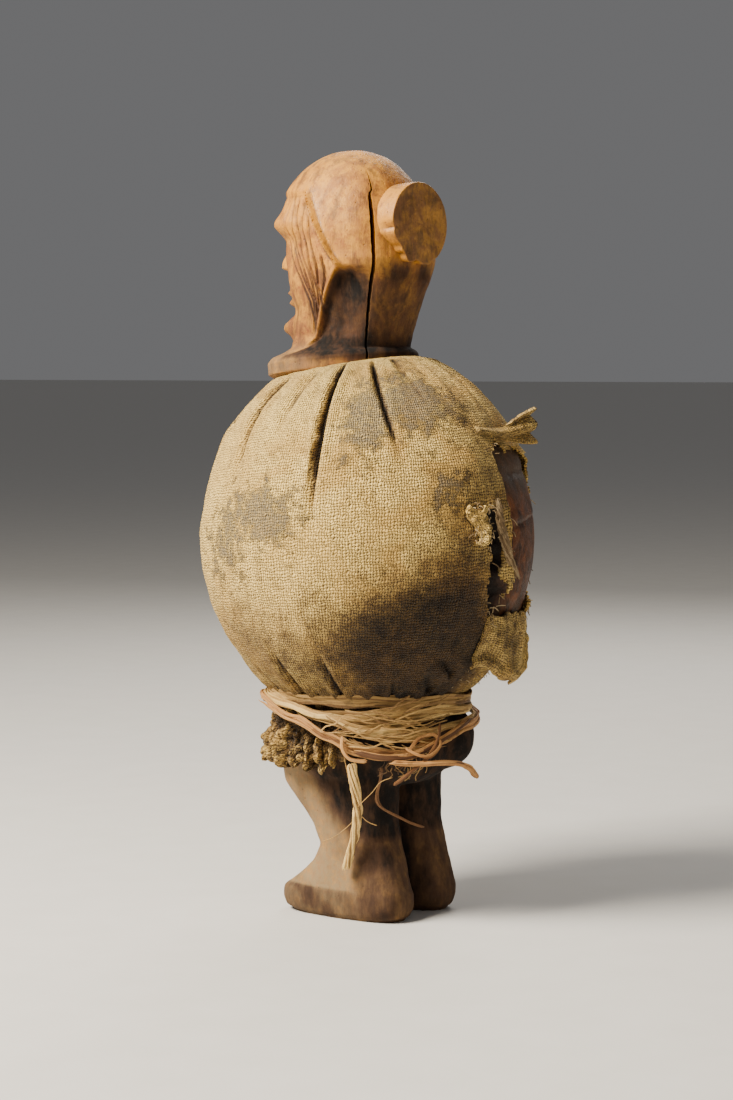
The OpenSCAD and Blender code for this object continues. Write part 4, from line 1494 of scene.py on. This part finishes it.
        def place(across: float, forward: float) -> Vector:
            """Return the roll's point: across it, and from its root to the fan's edge."""
            turn = (across - 0.5) * 2.0
            fan = smooth(0.45, 1.0, forward)
            degrees = blend(173.0, 205.0, forward)
            level = 164.6 - 1.4 * math.sin(forward * 3.0) + 1.2 * fan
            wide = blend(1.0 + forward, 5.9, fan)
            rolled = (1.0 - fan) * 1.2 * math.cos(turn * 2.6)
            pleat = math.sin(turn * 6.2 + 1.2) * 1.3 * fan
            reach = self.oval(164.6) + 0.3 + 8.4 * forward**2.4 + rolled + pleat
            jag = 0.5 * rough(Vector((turn * 9.0, 0.0, 0.0)), 1.8, 3.0) * fan
            out = bearing(degrees + jag)
            spot = out * reach + Vector((0.0, 0.0, level + turn * wide))
            return spot + out * 0.4 * rough(spot, 1.8, 2.0)

        return self._rag_piece("cloth_tuft", 56, 60, place, (13.0, 30.0), 1.0, 0.46)

    def _frayed_flap(self) -> bpy.types.Object:
        """Make the pale scrap crumpled back beside the slit."""

        def place(across: float, up: float) -> Vector:
            """Return the scrap's point."""
            ragged = Vector((across * 9.0, up * 16.0, 0.0))
            narrow = blend(0.4, 1.0, smooth(0.1, 0.7, up)) + 0.3 * rough(ragged, 2.2, 3.0)
            degrees = 163.6 + (across - 0.5) * 7.6 * narrow + 1.3 * math.sin(up * 5.0)
            level = 133.8 + (up - 0.5) * 12.0 * (1.0 + 0.25 * rough(ragged, 2.4, 8.0))
            spot = bearing(degrees) * (self.oval(level) + 1.0) + Vector((0.0, 0.0, level))
            crumple = 1.5 * rough(spot, 3.4, 11.0) + 0.6 * rough(spot, 1.5, 4.0)
            curl = 1.7 * math.sin(across * math.pi) + 1.2 * across * math.sin(up * 8.0)
            return spot + bearing(degrees) * max(0.0, curl + crumple)

        return self._rag_piece("cloth_frayed_flap", 46, 64, place, (9.0, 16.0), 0.8, 0.2)

    def _slit_strip(self) -> bpy.types.Object:
        """Make the thin twisted strip that hangs along the slit."""
        draw = random.Random(17)
        strands = []
        for index in range(16):
            points = []
            shift = draw.uniform(-0.6, 0.6)
            for step in range(9):
                part = step / 8.0
                degrees = 172.8 + 11.5 * part**2.4 + shift + 0.5 * math.sin(part * 9.0 + index)
                level = blend(142.5, 115.5, part) + draw.uniform(-0.4, 0.4)
                reach = self.oval(level) + 0.8 + 0.8 * math.cos(part * 7.0 + index)
                points.append(bearing(degrees) * reach + Vector((0.0, 0.0, level)))
            strands.append(Strand(points, 0.9, 0.8, draw.uniform(0.0, 0.5), 0.3))
        strip = strand_bundle("cloth_slit_strip", strands, 6, 60)
        push_points(strip, lambda p, n: 0.4 * rough(p, 1.1, 3.0))
        finish_piece(strip, self.thread.material())
        return strip

    def _hanging_rag(self) -> bpy.types.Object:
        """Make the pale flap that hangs below the tear, rolled along its lower edge."""

        def place(across: float, up: float) -> Vector:
            """Return the flap's point."""
            degrees = blend(172.0, 226.0, across)
            drawn_up = 5.5 * smooth(0.35, 0.0, across) + 16.0 * smooth(0.62, 1.0, across)
            droop = drawn_up + 1.6 * math.sin(across * 7.0) + 0.8 * math.sin(across * 17.0)
            torn = 3.6 * rough(Vector((across * 50.0, 0.0, 0.0)), 5.0, 2.0)
            level = blend(80.5 + droop, 103.5 + torn, up)
            drop = (1.0 - up) ** 1.5
            hang = self.oval(103.0) + 0.2 - 2.2 * drop + 0.9 * math.sin(across * 9.0) * drop
            hang = min(hang, self.oval(level) + 1.0 + 9.0 * smooth(0.0, 0.4, across))
            roll = 2.2 * bell(up - 0.06, 0.1)
            spot = bearing(degrees) * (hang + roll) + Vector((0.0, 0.0, level))
            return spot + bearing(degrees) * (0.8 * rough(spot, 4.0, 6.0) + 0.35 * rough(spot, 1.6))

        rag = self._rag_piece("cloth_hanging_rag", 110, 44, place, (52.0, 24.0), 0.9, 0.5)
        paint(rag, lambda point, normal: self._rag_tint(
            point, 0.5 * smooth(34.0, 14.0, turn_between(180.0, bearing_of(point)))))
        return rag

    def _frill(self) -> bpy.types.Object:
        """Make the gathered hem that crumples below the tie, round the front and left side."""
        start, end = -112.0, 112.0

        def place(across: float, up: float) -> Vector:
            """Return the hem's point."""
            degrees = blend(start, end, across)
            fade = smooth(0.0, 0.06, across) * smooth(1.0, 0.94, across)
            rest = Vector((across * 120.0, up * 10.0, 0.0))
            foot = 52.5 + 2.2 * rough(rest, 9.0, 3.0) + 4.0 * (1.0 - fade)
            level = blend(foot, 71.5, up)
            phase = degrees * 0.72 + 3.0 * rough(rest, 6.0, 8.0) + 2.2 * math.sin(up * 4.0)
            wave = math.sin(phase) + 0.5 * math.sin(2.3 * phase + 1.0)
            swell = 1.9 * (1.0 - up) ** 0.6 * fade
            reach = self.sleeve_reach + 0.6 + 1.5 * (1.0 - up) + swell * wave
            bulge = 1.2 * math.sin(up * 7.0 + 2.0 * rough(rest, 5.0, 1.0)) * fade
            skew = math.cos(phase * 0.9) * 2.4 * (1.0 - up) * fade
            spot = bearing(degrees + skew) * (reach + bulge) + Vector(
                (0.0, 0.0, level + 0.9 * math.sin(phase * 1.7) * (1.0 - up)))
            knobs = 4.2 * abs(rough(spot, 3.6, 13.0)) + 0.3 * rough(spot, 1.9, 3.0) - 0.9
            return spot + bearing(degrees) * knobs * fade

        frill = self._rag_piece("cloth_frill", 520, 34, place, (200.0, 20.0), 0.8, 0.5)
        paint(frill, self._frill_tint)
        return frill

    def _frill_tint(self, point: Vector, normal: Vector) -> Colour:
        """Return (grey patches, dark stain with painted shade, pale) on the hem, with painted shade deep
        in its folds.
        """
        # Painted shade in the valleys between the knobs and where the hem sinks in.
        valley = 1.0 - smooth(0.02, 0.24, abs(rough(point, 3.6, 13.0)))
        depth = self.sleeve_reach + 2.6 - math.hypot(point.x, point.y)
        return 0.3, 0.42 + 0.5 * max(0.7 * valley, smooth(-1.2, 1.6, depth)), 0.0

    def _frays(self) -> bpy.types.Object:
        """Make the broken threads along the torn edges."""
        draw = random.Random(7)
        strands = []
        outlines = ((self.opening, 70), (self.slit, 30))
        for corners, amount in outlines:
            edges = list(zip(corners, corners[1:] + corners[:1]))
            for _ in range(amount):
                first, second = draw.choice(edges)
                part = draw.random()
                degrees = blend(first[0], second[0], part) + draw.uniform(-1.0, 1.0)
                level = blend(first[1], second[1], part) + draw.uniform(-1.0, 1.0)
                strands.append(self._fray(draw, degrees, level, draw.uniform(1.6, 4.2)))
        for _ in range(60):
            degrees = draw.uniform(160.5, 168.5)
            strands.append(self._fray(draw, degrees, draw.uniform(129.0, 142.0),
                                      draw.uniform(1.2, 2.8), 2.0))
        for _ in range(60):
            strands.append(self._fray(draw, draw.uniform(176.0, 222.0), draw.uniform(80.0, 86.0),
                                      draw.uniform(1.2, 3.0), -1.0))
        threads = strand_bundle("cloth_frays", strands, 5, 8)
        finish_piece(threads, self.thread.material())
        return threads

    def _fray(self, draw: random.Random, degrees: float, level: float, length: float,
              proud: float = 0.4) -> "Strand":
        """Return one broken thread that curls away from a place on the cloth."""
        out = bearing(degrees)
        start = out * (self.oval(level) + proud) + Vector((0.0, 0.0, level))
        lean = Vector((draw.uniform(-1, 1), draw.uniform(-1, 1), draw.uniform(-1.4, 0.3)))
        way = (lean + out * draw.uniform(0.0, 0.35)).normalized()
        droop = Vector((0.0, 0.0, -0.3 * length * draw.random()))
        points = [start, start + way * length * 0.5, start + way * length * 0.85 + droop]
        return Strand(points, 0.3, 0.3, 0.7 * draw.random())


# ------------------------------------------------------------------------------ raffia


@dataclass
class Strand:
    """One flat fibre: the points it follows, its width and thickness, and its own shade."""

    points: list[Vector]
    width: float
    thick: float
    shade: float = 0.5
    grime: float = 0.0
    up: Optional[Vector] = None

    def at(self, part: float) -> Vector:
        """Return the point part of the way along, on a smooth line through the points."""
        count = len(self.points) - 1
        place = min(max(part, 0.0), 1.0) * count
        index = min(int(place), count - 1)
        t = place - index
        before = self.points[max(index - 1, 0)]
        start, end = self.points[index], self.points[index + 1]
        after = self.points[min(index + 2, count)]
        return 0.5 * ((2.0 * start) + (end - before) * t
                      + (2.0 * before - 5.0 * start + 4.0 * end - after) * t**2
                      + (3.0 * start - before - 3.0 * end + after) * t**3)

    def ring(self, part: float) -> tuple[Vector, Vector, Vector]:
        """Return the middle, the width's direction and the thickness's direction at a part."""
        here = self.at(part)
        ahead = self.at(part + 0.01) - self.at(part - 0.01)
        ahead = ahead.normalized() if ahead.length > 0.0 else Vector((0.0, 0.0, 1.0))
        out = self.up or Vector((here.x, here.y, 0.0))
        wide = ahead.cross(out)
        wide = wide.normalized() if wide.length > 1e-6 else ahead.orthogonal().normalized()
        return here, wide, wide.cross(ahead)


def strand_bundle(name: str, strands: Sequence[Strand], sides: int, lengths: int):
    """Model one strand, copy it along every route and join the copies.

    Args:
        name: the new object's name.
        strands: the strands.
        sides: faces round each.
        lengths: faces along each.

    Returns:
        The joined object.
    """
    only()
    bpy.ops.mesh.primitive_uv_sphere_add(segments=sides, ring_count=lengths, radius=1.0)
    model = bpy.context.active_object
    spots = [(math.atan2(v.co.y, v.co.x), math.acos(max(-1.0, min(1.0, -v.co.z))) / math.pi)
             for v in model.data.vertices]
    copies = []
    for strand in strands:
        mesh = model.data.copy()
        rings: dict[float, tuple[Vector, Vector, Vector]] = {}
        places = []
        for angle, part in spots:
            key = round(part, 4)
            if key not in rings:
                rings[key] = strand.ring(part)
            here, wide, over = rings[key]
            plump = min(1.0, 5.0 * math.sin(math.pi * part))
            spot = here + wide * (0.5 * strand.width * plump * math.cos(angle))
            spot = spot + over * (0.5 * strand.thick * plump * math.sin(angle))
            places.extend(spot * MM)
        mesh.vertices.foreach_set("co", places)
        layer = mesh.color_attributes.new("tint", "FLOAT_COLOR", "POINT")
        layer.data.foreach_set("color", [strand.shade, strand.grime, 0.0, 1.0] * len(spots))
        copy = bpy.data.objects.new(name, mesh)
        bpy.context.scene.collection.objects.link(copy)
        copies.append(copy)
    bpy.data.objects.remove(model)
    whole = join(copies, name)
    weld(whole, 0.001)
    return whole


@dataclass(frozen=True)
class Turn:
    """One raffia turn round the waist: its reach, and its height at each bearing."""

    name: str
    node: str
    reach: float
    levels: tuple[tuple[float, float], ...]
    fibres: int
    spread: float
    splay: float
    finish: Raffia
    slot: str
    seed: int

    def level(self, degrees: float) -> float:
        """Return the turn's height at a bearing."""
        angle = degrees % 360.0
        closed = self.levels + ((self.levels[0][0] + 360.0, self.levels[0][1]),)
        if angle < closed[0][0]:
            angle += 360.0
        for lower, upper in zip(closed, closed[1:]):
            if angle <= upper[0]:
                part = smooth(lower[0], upper[0], angle)
                return blend(lower[1], upper[1], part)
        return closed[-1][1]


@dataclass
class WaistTie:
    """The raffia tie: its turns, the knot behind the left hip and the loose ends."""

    turns: tuple[Turn, ...] = (
        # The top turn, under the bundle's overhang, takes the darker tan fibre: its own colour darkened
        # with painted shade.
        Turn("raffia_top", "raffia_turn_top", 34.2, ((40.0, 75.6), (90.0, 75.4), (126.0, 75.2),
             (165.0, 74.8), (216.0, 73.4), (300.0, 74.2)), 11, 1.3, 0.2, RAFFIA_TAN,
             "raffia_tan", 11),
        Turn("raffia_second", "raffia_turn_second", 34.2, ((30.0, 76.0), (60.0, 75.0),
             (101.0, 70.0), (116.0, 68.6), (140.0, 69.8), (165.0, 70.8), (216.0, 69.8),
             (300.0, 73.4)), 16, 1.0, 1.8, RAFFIA_GOLD, "raffia_tan", 12),
        Turn("raffia_crossing", "raffia_turn_crossing", 35.6, ((40.0, 74.4), (75.0, 73.2),
             (100.0, 70.1), (126.0, 65.8), (150.0, 64.0), (175.0, 66.1), (216.0, 67.2),
             (270.0, 69.5), (330.0, 73.0)), 6, 0.8, 1.6, RAFFIA_GOLD, "raffia_tan", 13),
        Turn("raffia_low", "raffia_turn_low", 37.0, ((50.0, 73.6), (84.0, 69.0), (107.0, 63.2),
             (116.0, 60.4), (129.0, 58.6), (147.0, 58.2), (160.0, 61.6), (190.0, 65.2),
             (216.0, 66.6), (300.0, 71.0)), 9, 1.0, 0.5, RAFFIA_ORANGE, "raffia_orange", 14),
    )

    # Free ends, each from the tie outwards, in millimetres.
    long_route = ((27.2, 29.8, 56.0), (25.5, 31.8, 55.8), (23.6, 33.8, 55.6), (21.5, 35.6, 55.5),
                  (19.2, 37.3, 55.5), (16.8, 38.8, 55.5), (14.2, 40.2, 55.4), (11.4, 41.2, 55.1),
                  (8.5, 41.9, 54.6), (5.6, 42.2, 53.8), (2.8, 42.0, 52.8), (0.2, 41.4, 51.7),
                  (-2.4, 40.6, 50.5), (-5.0, 39.7, 49.3), (-7.6, 38.8, 48.0))
    tassel_route = ((31.5, 15.5, 54.0), (31.2, 15.6, 51.5), (30.6, 15.6, 49.0),
                    (29.8, 15.5, 46.5), (28.9, 15.3, 44.0), (28.0, 15.0, 41.5),
                    (27.3, 14.6, 39.0), (26.8, 14.1, 36.5), (26.4, 13.5, 34.0),
                    (26.1, 12.8, 31.5), (25.8, 12.0, 29.0), (25.6, 11.1, 26.5),
                    (25.4, 10.2, 24.0), (25.2, 9.3, 21.5), (25.0, 8.5, 19.0))
    side_route = ((27.0, 24.0, 53.0), (26.2, 23.4, 51.0), (25.6, 22.6, 49.0), (25.3, 21.7, 47.0),
                  (25.2, 21.0, 45.0), (25.0, 20.8, 43.0), (24.2, 21.0, 41.0), (22.6, 21.6, 39.5),
                  (20.4, 22.2, 38.2), (18.0, 22.6, 37.0), (15.5, 23.0, 35.8), (13.0, 23.4, 34.6),
                  (10.5, 24.0, 33.4), (8.2, 24.8, 32.4), (6.0, 25.6, 31.6))

    def build_cords(self) -> None:
        """Make the three free ends."""
        self._cord("raffia_long_loose_end", self.long_route, 2.6, RAFFIA_ORANGE,
                   "raffia_long_end", 5, 0.5)
        self._cord("raffia_hanging_tassel", self.tassel_route, 3.0, RAFFIA_GOLD,
                   "raffia_tassel", 15, 0.6)
        self._cord("raffia_thin_strand", self.side_route, 1.2, RAFFIA_DARK,
                   "raffia_side_strand", 3, 0.5)

    def build_turns(self) -> None:
        """Make the turns, the knot and the stray fibres."""
        for turn in self.turns:
            self._turn(turn)
        self._knot()
        self._strays()

    def _cord(self, name: str, route: Sequence[tuple[float, float, float]], width: float,
              finish: Raffia, node: str, fibres: int,
              shade: float) -> None:
        """Make one free end: a twisted lock of fibres along its route.

        Args:
            name: the piece's name.
            route: its points, in millimetres.
            width: its width in millimetres.
            finish: its fibre.
            node: the CAD node it stands for.
            fibres: how many fibres it is made of.
            shade: how pale it is.
        """
        draw = random.Random(len(name) * 31 + fibres)
        path = [Vector(p) for p in route]
        overrun = 1.2
        before = path[0] + (path[0] - path[1]).normalized() * overrun
        after = path[-1] + (path[-1] - path[-2]).normalized() * overrun
        points = [before, *path, after]
        strands = [Strand(points, width * 0.7, width * 0.55, shade)]
        for index in range(fibres):
            start = index * 2.0 * math.pi / fibres
            spin = draw.uniform(1.0, 2.4)
            lock = []
            for step, point in enumerate(points):
                part = step / (len(points) - 1)
                angle = start + spin * part * math.pi
                way = Vector((math.cos(angle), math.sin(angle), 0.3 * math.sin(angle)))
                loose = width * (0.28 + 0.2 * draw.random())
                lock.append(point + way * loose)
            strands.append(Strand(lock, width * draw.uniform(0.18, 0.36), width * 0.2,
                                  draw.uniform(0.0, 1.0)))
        piece = strand_bundle(name, strands, 8, 60)
        finish_piece(piece, finish.material(), [node])

    def _turn(self, turn: Turn) -> None:
        """Make one turn as a flat bundle of fibres that splays on the left side."""
        draw = random.Random(turn.seed)
        strands = []
        steps = 46
        for index in range(turn.fibres):
            offset = blend(-1.0, 1.0, (index + 0.5) / turn.fibres) * turn.spread
            start = draw.uniform(0.0, 360.0)
            sweep = draw.uniform(300.0, 372.0)
            seed = draw.uniform(0.0, 50.0)
            deep = draw.uniform(-0.45, 0.45)
            points = []
            for step in range(steps + 1):
                degrees = start + sweep * step / steps
                place = Vector((step * 0.32 + seed, seed, 0.0))
                splay = 1.0 + turn.splay * bell(turn_between(136.0, degrees), 30.0)
                wander = 0.8 * noise.noise(place) * turn.spread
                ends = smooth(0.0, 3.0, step) * smooth(0.0, 3.0, steps - step)
                level = turn.level(degrees) + (offset + wander) * splay
                reach = turn.reach + deep + 0.6 * noise.noise(place * 1.7) + 0.7 * (1.0 - ends)
                points.append(bearing(degrees) * reach + Vector((0.0, 0.0, level)))
            strands.append(Strand(points, draw.uniform(0.8, 1.9), draw.uniform(0.35, 0.6),
                                  draw.random(), 0.35 * draw.random()))
        piece = strand_bundle(turn.name, strands, 6, 150)
        finish_piece(piece, turn.finish.material(), [turn.node])

    @staticmethod
    def _spot(degrees: float, reach: float, level: float) -> Vector:
        """Return a point from its bearing, its distance from the axis and its height."""
        return bearing(degrees) * reach + Vector((0.0, 0.0, level))

    def _lock(self, draw: random.Random, route: Sequence[tuple[float, float, float]], amount: int,
              width: float, spread: float) -> list[Strand]:
        """Return several fibres that follow one route of (bearing, reach, height) loosely."""
        strands = []
        for _ in range(amount):
            shift = Vector([draw.uniform(-spread, spread) for _ in range(3)])
            points = []
            for step, place in enumerate(route):
                stray = Vector([draw.uniform(-0.2, 0.2) for _ in range(3)])
                points.append(self._spot(*place) + shift * (0.6 + 0.2 * step) + stray)
            strands.append(Strand(points, width * draw.uniform(0.7, 1.1), width * 0.5,
                                  draw.random(), 0.2 * draw.random()))
        return strands

    def _knot(self) -> None:
        """Make the knot behind the left hip and its short stubs."""
        draw = random.Random(21)
        strands = []
        strands += self._lock(draw, ((118.0, 38.6, 59.6), (132.0, 39.2, 57.8), (146.0, 39.8, 58.2),
                                     (158.0, 40.0, 61.0), (172.0, 39.4, 65.0), (188.0, 38.0, 67.6)),
                              5, 1.3, 0.5)
        strands += self._lock(draw, ((163.0, 38.4, 68.0), (160.0, 40.4, 64.0), (156.0, 41.2, 59.6),
                                     (151.0, 41.4, 56.0), (145.0, 41.0, 52.6),
                                     (140.0, 40.4, 49.6), (137.0, 40.2, 48.4)), 3, 1.1, 0.3)
        strands += self._lock(draw, ((143.0, 38.6, 60.5), (148.0, 40.8, 58.6), (154.0, 41.8, 58.0),
                                     (160.0, 41.0, 61.0), (158.0, 39.0, 64.5), (150.0, 38.4, 63.0),
                                     (144.0, 39.4, 58.6)), 3, 1.1, 0.4)
        strands += self._lock(draw, ((112.0, 38.4, 64.5), (112.5, 39.4, 60.4), (116.0, 39.6, 57.0),
                                     (124.0, 39.4, 56.4)), 3, 1.0, 0.3)
        piece = strand_bundle("raffia_knotted_ends", strands, 6, 60)
        finish_piece(piece, RAFFIA_ORANGE.material(), ["raffia_knot"])

    def _strays(self) -> None:
        """Make the splayed fibres on the left side and the wisps below the tie."""
        draw = random.Random(33)
        strands = []
        for _ in range(60):
            start = draw.uniform(100.0, 146.0)
            sweep = draw.uniform(12.0, 36.0)
            level = draw.uniform(60.0, 73.0)
            tilt = draw.uniform(-6.0, 6.0)
            proud = draw.uniform(35.6, 38.4)
            points = [self._spot(start + sweep * part, proud + 0.9 * math.sin(part * math.pi)
                                 + draw.uniform(-0.3, 0.3),
                                 level + tilt * part + draw.uniform(-0.6, 0.6))
                      for part in (0.0, 0.25, 0.5, 0.75, 1.0)]
            strands.append(Strand(points, draw.uniform(0.25, 0.6), 0.25, draw.uniform(0.2, 1.0)))
        for _ in range(22):
            start = draw.uniform(132.0, 160.0)
            fall = draw.uniform(2.0, 6.0)
            level = draw.uniform(54.0, 59.0)
            points = [self._spot(start + part * draw.uniform(-6.0, 4.0), 38.4 - 1.5 * part,
                                 level - fall * part) for part in (0.0, 0.35, 0.7, 1.0)]
            strands.append(Strand(points, draw.uniform(0.2, 0.4), 0.2, draw.random(), 0.3))
        wisps = (
            ((112.0, 35.5, 57.0), (113.5, 35.0, 52.0), (115.0, 34.0, 47.0), (117.0, 32.5, 43.0)),
            ((137.0, 38.6, 51.0), (131.0, 38.8, 49.6), (127.0, 37.0, 46.0), (122.0, 34.5, 42.5),
             (118.0, 32.5, 40.0)),
            ((115.0, 30.5, 35.0), (108.0, 29.8, 31.6), (99.0, 28.4, 28.6), (90.0, 27.5, 27.0)),
            ((119.0, 31.0, 38.0), (124.0, 31.8, 35.4), (130.0, 32.0, 34.0)),
        )
        for route in wisps:
            strands.append(Strand([self._spot(*p) for p in route], 0.28, 0.28, 0.6))
        piece = strand_bundle("raffia_stray_fibres", strands, 5, 26)
        finish_piece(piece, RAFFIA_TAN.material())


# ------------------------------------------------------------------------------ making it


def main() -> None:
    """Build the sub-assemblies in order: camera, cords, figure, bundle, tie."""
    logging.basicConfig(level=logging.INFO, format="%(name)s %(message)s")
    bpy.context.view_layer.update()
    Studio().build()
    tie = WaistTie()
    tie.build_cords()
    CarvedFigure().build()
    ChargeBundle().build()
    tie.build_turns()


if __name__ == "__main__":
    main()
